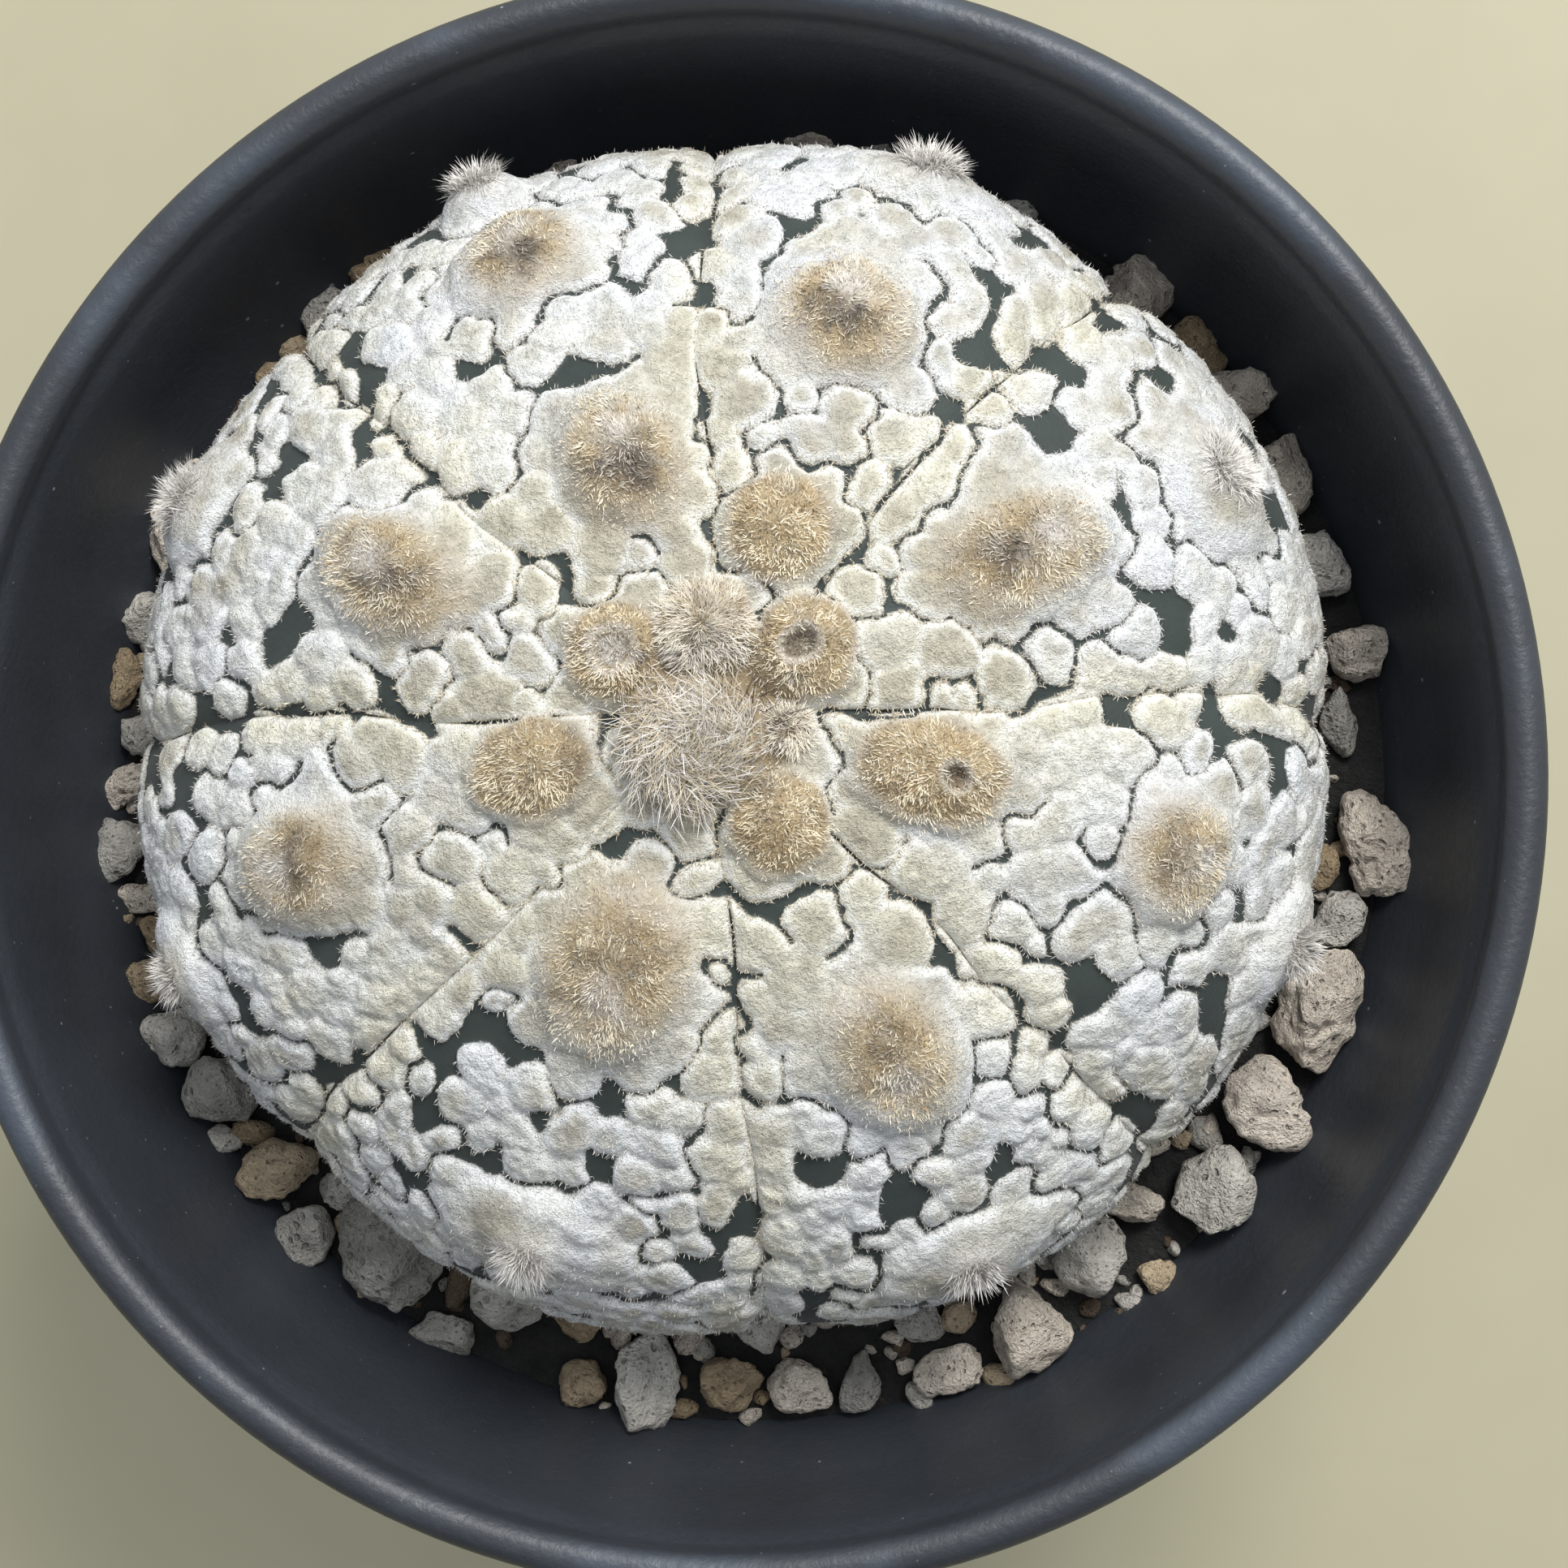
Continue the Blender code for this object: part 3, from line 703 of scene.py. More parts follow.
def groove_distance(radius, angle):
    """Distance in millimetres, round the plant, to the nearest groove, and the share of the half rib."""
    turned = (angle[:, None] - GROOVES[None, :] + math.pi) % (2 * math.pi) - math.pi
    nearest = np.abs(turned).min(axis=1)
    after = np.where(turned >= 0, turned, 9.0).min(axis=1)
    before = np.where(turned < 0, -turned, 9.0).min(axis=1)
    half = np.minimum(after + before, 1.2) / 2
    return nearest * radius, np.clip(nearest / half, 0, 1)


def wander(run, angle):
    """How far a groove or a rib strays from its own direction: no real one is a straight line."""
    radius = np.interp(run, RUN, RUN_RADIUS)
    height = np.interp(run, RUN, RUN_HEIGHT)
    place = np.column_stack([radius * np.cos(angle), radius * np.sin(angle), height])
    stray = (BROAD_STRAY * soft_noise(place, BROAD_BEND, 301)
             + FINE_STRAY * soft_noise(place, FINE_BEND, 302))
    return stray * ease(run, 8.0, 22.0) / np.maximum(radius, 8.0)


def bare_form(run, angle):
    """Point and outward normal of the skin, with ribs but without areoles or felt."""
    radius = np.interp(run, RUN, RUN_RADIUS)
    radius = radius + (FULLNESS + LEAN * np.cos(angle - LEAN_TOWARD)) * ease(run, 18.0, SHOULDER)
    height = np.interp(run, RUN, RUN_HEIGHT)
    step = 0.2
    ahead_r = np.interp(run + step, RUN, RUN_RADIUS) - np.interp(run - step, RUN, RUN_RADIUS)
    ahead_z = np.interp(run + step, RUN, RUN_HEIGHT) - np.interp(run - step, RUN, RUN_HEIGHT)
    length = np.maximum(np.hypot(ahead_r, ahead_z), 1e-6)
    slope_r, slope_z = -ahead_z / length, ahead_r / length
    gap, across = groove_distance(radius, angle)
    opened = ease(run, 3.0, 16.0)
    crease = (0.35 + 0.45 * ease(run, 25.0, 60.0)) * np.exp(-(gap / (0.8 + 0.015 * run)) ** 1.2)
    shoulder = 0.9 * ease(run, 10.0, 58.0) * (1.0 - np.sin(across * math.pi / 2)) ** 1.4
    drop = opened * (crease + shoulder)
    strayed = angle + wander(run, angle)
    outward = np.stack([np.cos(strayed), np.sin(strayed)], axis=1)
    normal = np.column_stack([outward * slope_r[:, None], slope_z])
    point = np.column_stack([PLANT_X + radius * outward[:, 0], PLANT_Y + radius * outward[:, 1], height])
    point = point - normal * drop[:, None]
    point += normal * (0.45 * soft_noise(point, 17.0, SEED) * opened)[:, None]
    return point, normal, gap, across


print("meridian runs", round(RUN_END, 1), "mm, shoulder at", round(SHOULDER, 1))

# %% [markdown]
# Areoles are where the wool and the flowers come from. New ones open at the crown and drift outward
# as the plant grows, so the innermost are fresh ochre, the next are wide and grey-brown, and the
# outermost are small, worn and white. Each row here is one of them: its distance from the crown and
# direction, half its width and length, the felt halo round it, its height and its kind. The length
# runs along the rib. The crown has no felt at all, only wool, so its cushions are rows too.

# %% Areoles
OCHRE, BROWN, PALE, GREY, TAN = 0, 1, 2, 3, 4
AREOLES = [
    # from crown, degrees, half width, half length, halo half width, halo half length, lift, kind
    (9.2, 35.5, 4.5, 4.5, 5.0, 5.0, 2.3, OCHRE), (28.6, 27.0, 4.6, 7.0, 6.5, 9.2, 2.0, BROWN),
    (46.5, 26.0, 4.2, 3.4, 8.4, 6.2, 1.6, PALE),
    (15.9, 71.0, 4.6, 4.8, 5.6, 5.6, 2.3, OCHRE), (35.0, 71.5, 5.8, 5.2, 7.6, 7.4, 2.0, BROWN),
    (50.0, 71.0, 4.2, 2.8, 9.2, 4.4, 1.6, PALE),
    (22.3, 108.6, 4.7, 5.9, 6.2, 7.5, 2.2, BROWN), (42.8, 112.7, 4.9, 4.6, 7.6, 6.6, 1.8, BROWN),
    (51.0, 115.0, 3.4, 2.6, 5.0, 3.6, 1.9, PALE),
    (9.2, 147.0, 4.2, 4.2, 4.7, 4.7, 2.2, OCHRE), (29.0, 155.6, 4.6, 7.0, 6.1, 8.6, 2.0, BROWN),
    (49.5, 157.4, 4.0, 3.4, 7.0, 5.6, 1.6, PALE),
    (15.0, 195.0, 4.2, 5.4, 5.2, 6.4, 2.1, OCHRE), (36.2, 200.0, 4.6, 5.4, 6.6, 7.8, 1.9, BROWN),
    (50.8, 203.0, 3.2, 2.8, 6.4, 4.6, 1.4, PALE),
    (22.0, 248.4, 5.9, 7.4, 7.2, 9.2, 2.3, BROWN), (46.0, 249.1, 3.4, 3.0, 10.0, 6.6, 2.0, PALE),
    (10.3, 303.6, 4.2, 4.2, 4.6, 4.8, 2.2, OCHRE), (31.0, 297.1, 4.6, 6.2, 6.6, 8.2, 2.0, BROWN),
    (49.0, 294.1, 3.4, 3.0, 9.4, 5.6, 1.8, PALE),
    (18.3, 346.5, 4.5, 6.6, 5.6, 7.8, 2.1, OCHRE), (39.2, 341.6, 4.8, 4.6, 6.8, 6.6, 1.8, BROWN),
    (51.5, 339.0, 3.6, 3.0, 6.6, 4.6, 1.6, PALE),
    (2.9, 241.0, 6.0, 6.0, 6.2, 6.2, 3.2, GREY), (6.9, 93.0, 4.3, 4.3, 4.4, 4.4, 2.6, TAN),
    (6.3, 348.0, 2.4, 2.4, 2.6, 2.6, 1.0, TAN),
]
# open centres left by flowers: areole, offset across and along the rib, radius, depth, shade, paleness
CRATERS = [(0, 0.2, -0.2, 1.15, 1.3, 0.80, 0.1), (9, 0.0, 0.0, 1.45, 0.9, 0.55, 0.60),
           (20, 0.2, 1.6, 1.00, 1.3, 0.60, 0.0)]


def surface_frames(run, angle):
    """Point, normal, and the directions along the rib and across it."""
    point, normal, _, _ = bare_form(run, angle)
    ahead, _, _, _ = bare_form(run + 0.5, angle)
    along = unit(ahead - point)
    across = unit(np.cross(normal, along))
    return point, unit(np.cross(along, across)), along, across


areole_run = np.array([run_of_radius(row[0]) for row in AREOLES])
areole_angle = np.radians([row[1] for row in AREOLES])
areole_point, areole_normal, areole_along, areole_across = surface_frames(areole_run, areole_angle)
areole_half = np.array([(row[2], row[3]) for row in AREOLES])
halo_half = np.array([(row[4], row[5]) for row in AREOLES])
areole_lift = np.array([row[6] for row in AREOLES])
areole_kind = np.array([row[7] for row in AREOLES])


def oval_reach(points, halves, row, depth=4.0):
    """Distance from an areole's centre as a share of its oval: 1 on its edge."""
    offset = points - areole_point[row]
    across = offset @ areole_across[row] / halves[row, 0]
    along = offset @ areole_along[row] / halves[row, 1]
    out = offset @ areole_normal[row] / depth
    return np.sqrt(across ** 2 + along ** 2 + 0.3 * out ** 2)


print("areoles", len(AREOLES), "runs from", areole_run.min().round(1), "to", areole_run.max().round(1))

# %% [markdown]
# The felt has split into islands, each a cluster of round lobes. Modelling islands one by one would
# take days, so lobes are dealt like darts: large ones first, then smaller ones wherever there is
# still room, the way cobbles are laid. None may cross a groove, and none is needed in a halo, the
# smooth raised felt round an areole.

# %% Lobes of felt
dice = np.random.default_rng(SEED)
FELT_START = 7.0
FELT_END = RUN_END - 3.0
THROWS = 7000
LARGEST_LOBE = 2.50     # radius of the first lobes dealt; the last ones are smaller by SHRINK
SHRINK = 1.15


def rib_span(rib):
    start = GROOVES[rib]
    end = GROOVES[(rib + 1) % len(GROOVES)]
    return start, (end - start) % (2 * math.pi)


def throw_lobes(rib):
    """Runs, angles, points and radii of one rib's lobes."""
    start, span = rib_span(rib)
    run = FELT_START + (FELT_END - FELT_START) * dice.random(THROWS)
    share = dice.random(THROWS)
    angle = start + span * share
    radius = np.interp(run, RUN, RUN_RADIUS)
    outer = ease(run, 24.0, 50.0)
    progress = np.arange(THROWS) / THROWS
    size = LARGEST_LOBE - 0.30 * outer - (SHRINK - 0.25 * outer) * np.sqrt(progress)
    size = size * dice.uniform(0.85, 1.08, THROWS)
    gap = np.minimum(share, 1 - share) * span * radius
    point, _, _, _ = bare_form(run, angle)
    reach = np.stack([oval_reach(point, halo_half, row) for row in range(len(AREOLES))]).min(axis=0)
    allowed = (gap > 0.60 * size) & (reach > 0.93) & (dice.random(THROWS) * PLANT_RADIUS < radius)
    kept = []
    for index in np.nonzero(allowed)[0]:
        if kept:
            apart = np.linalg.norm(point[kept] - point[index], axis=1)
            if np.any(apart < 0.78 * (size[kept] + size[index])):
                continue
        kept.append(index)
    return run[kept], angle[kept], point[kept], size[kept], gap[kept], reach[kept]


thrown = [throw_lobes(rib) for rib in range(len(GROOVES))]
lobe_rib = np.concatenate([np.full(len(part[0]), rib) for rib, part in enumerate(thrown)])
lobe_run, lobe_angle, lobe_point, lobe_size, lobe_gap, lobe_reach = (
    np.concatenate([part[column] for part in thrown]) for column in range(6))
print("lobes", len(lobe_run), "mean width", round(2 * lobe_size.mean(), 1), "mm")

# %% [markdown]
# Lobes join into islands in three ways. Those beside a groove belong to a long strip that follows
# it; those that touch a halo mostly belong to its areole; and the rest gather round scattered seeds.
# Near the crown the islands are large, and outward they are smaller. A few lobes at the islands'
# borders are then dropped, which leaves the dark bare patches. The others are stretched away from
# their island's middle, like petals.

# %% Islands
STRIP_LENGTHS = {True: (17.0, 26.0), False: (9.0, 22.0)}    # near the crown, and further out
SEEDS_APART = 9.5
SEEDS_CLOSER = 2.0      # how much closer together they are at the shoulder


def strip_islands(first_number):
    """Number the lobes beside each groove, with a break every few millimetres."""
    number = first_number
    owner = np.full(len(lobe_run), -1)
    for rib in range(len(GROOVES)):
        start, span = rib_span(rib)
        for side_of_rib in (0, 1):
            share = (lobe_angle - start) / span
            beside = (lobe_rib == rib) & (lobe_gap < 2.6 + 0.02 * lobe_run)
            beside &= (share < 0.5) if side_of_rib == 0 else (share >= 0.5)
            run = 0.0
            while run < RUN_END:
                length = dice.uniform(*STRIP_LENGTHS[run < 20.0])
                owner[beside & (lobe_run >= run) & (lobe_run < run + length)] = number
                number += 1
                run += length
    return owner, number


def seed_islands(first_number):
    """Number every lobe by its nearest seed on the same rib; seeds lie closer together outward."""
    owner = np.zeros(len(lobe_run), int)
    number = first_number
    warped = lobe_point + 1.5 * noise_vector(lobe_point, 6.0, 17)
    for rib in range(len(GROOVES)):
        mine = np.nonzero(lobe_rib == rib)[0]
        order = dice.permutation(mine)
        seeds = []
        for index in order:
            spacing = SEEDS_APART - SEEDS_CLOSER * float(ease(lobe_run[index], 20.0, 48.0))
            if all(np.linalg.norm(lobe_point[index] - lobe_point[other]) > spacing for other in seeds):
                seeds.append(index)
        apart = np.linalg.norm(warped[mine][:, None] - warped[seeds][None], axis=2)
        owner[mine] = number + apart.argmin(axis=1)
        number += len(seeds)
    return owner, number


strip_owner, following = strip_islands(len(AREOLES))
seed_owner, following = seed_islands(following)
halo_reach = np.stack([oval_reach(lobe_point, halo_half, row) for row in range(len(AREOLES))])
nearest_halo = halo_reach.argmin(axis=0)
joins_halo = lobe_reach < 1.0 + 0.30 * dice.random(len(lobe_run)) ** 1.5
lobe_island = np.where(joins_halo, nearest_halo, np.where(strip_owner >= 0, strip_owner, seed_owner))
in_strip = ~joins_halo & (strip_owner >= 0)

lobe_tree = kdtree.KDTree(len(lobe_run))
for index, point in enumerate(lobe_point):
    lobe_tree.insert(point, index)
lobe_tree.balance()


def drop_lobes(chance_of):
    """Pick lobes to leave out: only where three islands meet, and never two side by side."""
    dropped = np.zeros(len(lobe_run), bool)
    for index, point in enumerate(lobe_point):
        around = [found[1] for found in lobe_tree.find_n(point, 7)]
        meets = len({int(lobe_island[other]) for other in around}) > 2
        free = not dropped[around].any() and not joins_halo[index]
        dropped[index] = meets and free and dice.random() < chance_of[index]
    return dropped


lobe_outer = ease(lobe_run, 20.0, 46.0)
dropped = drop_lobes((0.08 + 0.34 * lobe_outer) * np.clip(1.5 - 0.4 * lobe_size, 0.1, 1.0))
stretch = 1.0 + dice.uniform(-0.08, 0.18, len(lobe_run)) + 0.20 * lobe_outer * dice.random(len(lobe_run))
swollen = lobe_size * (1.22 - 0.08 * lobe_outer)
lobe_half = np.stack([swollen / stretch, swollen * stretch], axis=1)
lobe_half[dropped] = 0.01
lobe_thick = dice.uniform(0.72, 1.0, len(lobe_run))
warm_strip = dice.uniform(0.55, 1.0, len(lobe_run))
lobe_warm = np.where(in_strip, warm_strip, dice.uniform(0.0, 0.6, len(lobe_run)))
_, lobe_normal, lobe_along, lobe_across = surface_frames(lobe_run, lobe_angle)
lobe_turn = dice.uniform(-0.9, 0.9, len(lobe_run))[:, None]
turned_along = lobe_along * np.cos(lobe_turn) + lobe_across * np.sin(lobe_turn)
island_numbers = sorted(set(lobe_island.tolist()))
island_middle = {number: lobe_point[lobe_island == number].mean(axis=0) for number in island_numbers}
for row in range(len(AREOLES)):
    island_middle[row] = areole_point[row]
from_middle = lobe_point - np.array([island_middle[number] for number in lobe_island.tolist()])
from_middle -= (from_middle * lobe_normal).sum(1)[:, None] * lobe_normal
petal = (np.linalg.norm(from_middle, axis=1) > 1.2) & ~in_strip
turned_along[petal] = unit(unit(from_middle[petal]) + 0.35 * turned_along[petal])
turned_across = np.cross(lobe_normal, turned_along)
print("islands", len(island_numbers), "dropped lobes", int(dropped.sum()))

# %% [markdown]
# From the lobes comes one number for every point of the skin: how deep it lies inside its island,
# in millimetres, below zero where the skin is bare. The islands of two neighbours keep a crack
# between them, and lobes of one island flow together but leave a shallow crease. Bending the points
# with noise first makes every outline a little ragged, as felt is.

# %% Depth inside the felt
NEIGHBOURS = 14
FLOW = 2.3              # how sharply lobes of one island keep apart: higher is sharper
RIVALRY = 2.6           # the same for lobes of different islands
FAR = 9.0               # stands for a distance that no longer counts


def grown_together(first, second, run):
    """True if two islands are the same, or if their felts have met and closed the crack between them."""
    low, high = np.minimum(first, second), np.maximum(first, second)
    lot = (corner_value(low, high, low * 0 + 7, 23) + 1.0) / 2
    closed = np.where(low < len(AREOLES), 0.30, 0.58 - 0.06 * ease(run, 20.0, 48.0)[:, None])
    return (first == second) | (lot < closed)


def felt_depth(points, run, gap):
    """Depth in the felt, then the ruling lobe's thickness, warmth, core and crease, and the halo's hold."""
    count = len(points)
    bent = points + 0.50 * noise_vector(points, 2.4, 5) + 0.27 * noise_vector(points, 0.95, 9)
    bent += 0.07 * noise_vector(points, 0.42, 11)
    near = np.array([[found[1] for found in lobe_tree.find_n(point, NEIGHBOURS)] for point in bent])
    offset = bent[:, None, :] - lobe_point[near]
    across = (offset * turned_across[near]).sum(-1) / lobe_half[near, 0]
    along = (offset * turned_along[near]).sum(-1) / lobe_half[near, 1]
    out = (offset * lobe_normal[near]).sum(-1) / 2.5
    size = lobe_half[near].min(-1)
    apart = (np.sqrt(across ** 2 + along ** 2 + out ** 2) - 1.0) * size
    apart = np.where(dropped[near], FAR, apart)
    islands = lobe_island[near]
    halo = np.stack([(oval_reach(bent, halo_half, row) - 1.0) * halo_half[row].min() * 0.9
                     for row in range(len(AREOLES))], axis=1)
    apart = np.concatenate([apart, halo], axis=1)
    islands = np.concatenate([islands, np.tile(np.arange(len(AREOLES)), (count, 1))], axis=1)
    every = np.arange(count)
    best = apart.argmin(axis=1)
    own = apart[every, best]
    mine = grown_together(islands, islands[every, best][:, None], run)
    other = -np.log(np.exp(-RIVALRY * np.where(mine, FAR, apart)).sum(axis=1)) / RIVALRY
    union = -np.log(np.exp(-FLOW * np.where(mine, apart, FAR)).sum(axis=1)) / FLOW
    outer = ease(run, 20.0, 50.0)
    crack = 0.05 + 0.02 * outer + (0.09 + 0.05 * outer) * soft_noise(points, 4.0, 3)
    depth = np.minimum(-union, 0.5 * (other - own) - crack)
    depth = np.minimum(depth, 1.3 * gap + 0.07 + 0.24 * soft_noise(points, 4.5, 4))
    partner = np.where(mine, apart, FAR)
    partner[every, best] = FAR
    crease = np.exp(-((partner.min(axis=1) - own) / 0.55) ** 2)
    in_lobe = best < NEIGHBOURS
    picked = near[every, np.minimum(best, NEIGHBOURS - 1)]
    thick = np.where(in_lobe, lobe_thick[picked], 0.95)
    warm = np.where(in_lobe, lobe_warm[picked], 0.15)
    core = np.where(in_lobe, np.clip(-own / lobe_half[picked].min(-1), 0, 1), np.clip(-own / 3.0, 0, 1))
    in_halo = ease(-halo.min(axis=1), -0.3, 1.2)
    return depth, thick, warm, core, crease * np.where(in_lobe, 1.0, 0.4), in_halo


print("felt rule ready")

# %% [markdown]
# Now the felt gets its body. Its height rises steeply at an island's edge and rounds off inside, so
# that light catches each lobe, and sinks along the crease where two lobes meet. Halos get broad
# folds. Wool cushions swell out of them, and the freshest ones have a crater where a flower stood.
# The same numbers go to the mesh as named values for the material.

# %% Surface of the plant
FELT_THICK = 0.92
WOOL_SHADE = {OCHRE: 0.12, GREY: 0.78, TAN: -0.20}     # brown and pale wool have rules of their own


def wool_cover(points, run):
    """How much wool a point has, how dark and how pale it is, and how far its cushion lifts it."""
    bent = points + 0.45 * noise_vector(points, 2.2, 41)
    cover = 1.0 - ease(run, 6.4, 8.2)
    dark = np.full(len(points), 0.38)
    white = np.zeros(len(points))
    lift = 0.5 * cover
    for row in range(len(AREOLES)):
        kind = areole_kind[row]
        reach = oval_reach(bent, areole_half, row)
        halo = oval_reach(points, halo_half, row)
        along = (bent - areole_point[row]) @ areole_along[row] / areole_half[row, 1]
        across = (bent - areole_point[row]) @ areole_across[row] / areole_half[row, 0]
        pale = 0.0 * reach
        if kind == BROWN:
            here = 1.0 - ease(reach + 0.22 * np.clip(along, -1.0, 1.0), 0.45, 1.30)
            dark_tufts = np.exp(-((along + 0.28) / 0.42) ** 2 - (across / 0.60) ** 2)
            # brown wool is made lighter toward the plant's south side, away from the window panel
            toward_south = 0.5 - 0.5 * math.sin(areole_angle[row])
            shade = (0.02 + dark_tufts + 0.42 * soft_noise(points, 1.7, 43)
                     + 0.34 * soft_noise(points, 0.8, 45)) * (1.0 - 0.60 * toward_south)
            pale = 0.75 * np.exp(-((along - 0.30) / 0.30) ** 2 - (across / 0.42) ** 2)
            pale = pale + 0.25 * ease(reach, 0.55, 1.0) + 0.25 * soft_noise(points, 1.1, 53)
        elif kind == PALE:
            here = 0.6 * (1.0 - ease(reach, 0.3, 1.2))
            shade = 0.05 + 0.25 * np.exp(-((reach - 0.85) / 0.2) ** 2)
            pale = 0.95 * (1.0 - ease(reach, 0.7, 1.1))
        else:
            here = 1.0 - ease(reach, 0.80, 1.10)
            shade = (WOOL_SHADE[kind] + 0.35 * ease(-along, 0.3, 1.0)
                     + 0.30 * soft_noise(points, 1.7, 43) + 0.22 * soft_noise(points, 0.8, 45))
            pale = 0.35 * ease(reach, 0.75, 1.05)
        bump = areole_lift[row] * np.maximum(1.0 - (reach / 1.12) ** 2, 0.0) ** 0.8
        if kind in (BROWN, PALE):
            mound = np.exp(-(reach / 0.86) ** 3.2) * (0.80 + 0.30 * soft_noise(points, 2.3, 63))
            bump = areole_lift[row] * mound + 0.75 * (1.0 - ease(halo, 0.62, 1.02))
        stronger = here > cover
        dark = np.where(stronger, shade, dark)
        white = np.where(stronger, pale, white)
        cover = np.maximum(cover, here)
        lift = np.maximum(lift, bump)
    for row, off_across, off_along, radius, depth, shade, pale in CRATERS:
        middle = areole_point[row] + off_across * areole_across[row] + off_along * areole_along[row]
        flat = bent - middle
        flat = flat - (flat @ areole_normal[row])[:, None] * areole_normal[row]
        away = np.linalg.norm(flat, axis=1) / radius
        lift = lift - depth * np.exp(-away ** 3) + 0.30 * np.exp(-((away - 1.5) / 0.5) ** 2)
        dark = np.where(away < 1.0, shade, dark)
        white = np.where(away < 0.85, pale, np.maximum(white, 0.6 * np.exp(-((away - 1.25) / 0.28) ** 2)))
    return cover, np.clip(dark, 0, 1), np.clip(white, 0, 1), lift


def plant_surface(run, angle):
    """Finished points of the plant and the numbers its material reads."""
    skin, normal, gap, across = bare_form(run, angle)
    depth, thick, warm, core, crease, in_halo = felt_depth(skin, run, gap)
    cover, dark, white, lift = wool_cover(skin, run)
    depth = np.maximum(depth, (cover - 0.5) * 2.0)
    inside = np.maximum(depth, 0.0)
    outer = ease(run, 18.0, 48.0)
    swell = 1.0 - np.exp(-inside / 0.28)
    dome = 0.74 + 0.26 * np.sqrt(core) - (0.15 + 0.07 * outer) * crease
    fluff = 0.13 * soft_noise(skin, 1.3, 61) + 0.11 * soft_noise(skin, 0.62, 67)
    folds = 0.55 * np.abs(layered_noise(skin, 5.5, 2, 77)) * in_halo * (0.3 + 0.7 * outer)
    felt = FELT_THICK * thick * swell * dome + swell * fluff * (1.0 + 0.5 * outer) * (1.0 - 0.5 * in_halo)
    felt = (felt + swell * folds) * (1.0 - 0.25 * ease(run, 44.0, 60.0))
    height = lift + felt * (1.0 - 0.45 * cover)
    point = skin + normal * height[:, None]
    crown = 1.0 - ease(run, 14.0, 40.0)
    cream = (0.80 * np.exp(-(gap / 3.2) ** 2) * (1.0 - 0.5 * ease(run, 40.0, 60.0)) * (0.5 + 0.5 * warm)
             + 0.45 * crown + 0.30 * warm + 0.10 + 0.45 * soft_noise(skin, 4.5, 71))
    stain = (0.62 * crown + 0.60 * core * (0.8 + 0.6 * soft_noise(skin, 5.0, 79)) + 0.08
             + 0.62 * layered_noise(skin, 6.0, 3, 81) - 0.10 * np.exp(-(gap / 3.0) ** 2))
    # crease marks where lobes of one island meet; the felt material paints shade there
    return point, normal, {"felt": depth, "cream": np.clip(cream, 0, 1), "stain": np.clip(stain, 0, 1),
                           "crease": crease * np.clip(inside / 0.4, 0, 1) * (1.0 - cover),
                           "wool": cover, "wool_dark": dark, "wool_white": white}


_, _, numbers = plant_surface(np.linspace(8, RUN_END - 4, 60), np.full(60, 0.5))
print("felt covers", round(float((numbers["felt"] > 0).mean()), 2), "of one meridian")

# %% [markdown]
# Felt and skin share one material, because they meet along thousands of edges. The felt depth picks
# between them: the skin is smooth, dark grey-green and slightly waxy, and the felt is white to cream
# with cottony grain, brightest in a band along each island's edge and stained toward its middle.
# Painted shade darkens its creases and the thin lip right at each island's edge. Wool on the areoles is
# ochre to grey-brown. A high roughness and a faint sheen give the felt its softness without costly
# scattering.

# %% Felt finish
felt_finish, tree, shader, place = new_material("cactus_felt")
fibre = place_group(tree, MOTTLE, Place=place, Cloud_Size=1.3, Grain_Size=0.16, Contrast=1.5)
broad = place_group(tree, MOTTLE, Place=place, Cloud_Size=7.0, Grain_Size=0.45, Contrast=1.3)
depth = attribute(tree, "felt")
fluff_tone = math_node(tree, "ADD", times(tree, fibre.outputs["Grain"], 0.5),
                       times(tree, broad.outputs["Grain"], 0.5))
ragged = times(tree, math_node(tree, "SUBTRACT", fluff_tone, 0.5), 0.26)
edge = math_node(tree, "ADD", depth, ragged)
felt_mask = smooth_step(tree, edge, -0.03, 0.09)
cool = mix_colour(tree, broad.outputs["Cloud"], (0.80, 0.82, 0.82), (0.92, 0.93, 0.94))
warm = mix_colour(tree, fibre.outputs["Cloud"], (0.85, 0.80, 0.60), (0.97, 0.95, 0.84))
felt_colour = mix_colour(tree, attribute(tree, "cream"), cool, warm)
inward = math_node(tree, "ADD", times(tree, smooth_step(tree, edge, 0.30, 1.05), 0.95), 0.05)
worn = times(tree, attribute(tree, "stain"), inward)
stained = mix_colour(tree, times(tree, worn, 0.85), felt_colour, (0.52, 0.475, 0.365))
grain_tone = ramp(tree, fluff_tone, [(0.28, 0.66), (0.60, 1.0)])
cotton = ramp(tree, fibre.outputs["Cloud"], [(0.22, 0.80), (0.62, 1.04)])
cottony = mix_colour(tree, 1.0, stained, cotton, "MULTIPLY")
grained = mix_colour(tree, 1.0, cottony, grain_tone, "MULTIPLY")
# painted shade in the creases between lobes
crease_shade = times(tree, attribute(tree, "crease"), 0.32)
crease_shaded = mix_colour(tree, crease_shade, grained, (0.46, 0.44, 0.37))
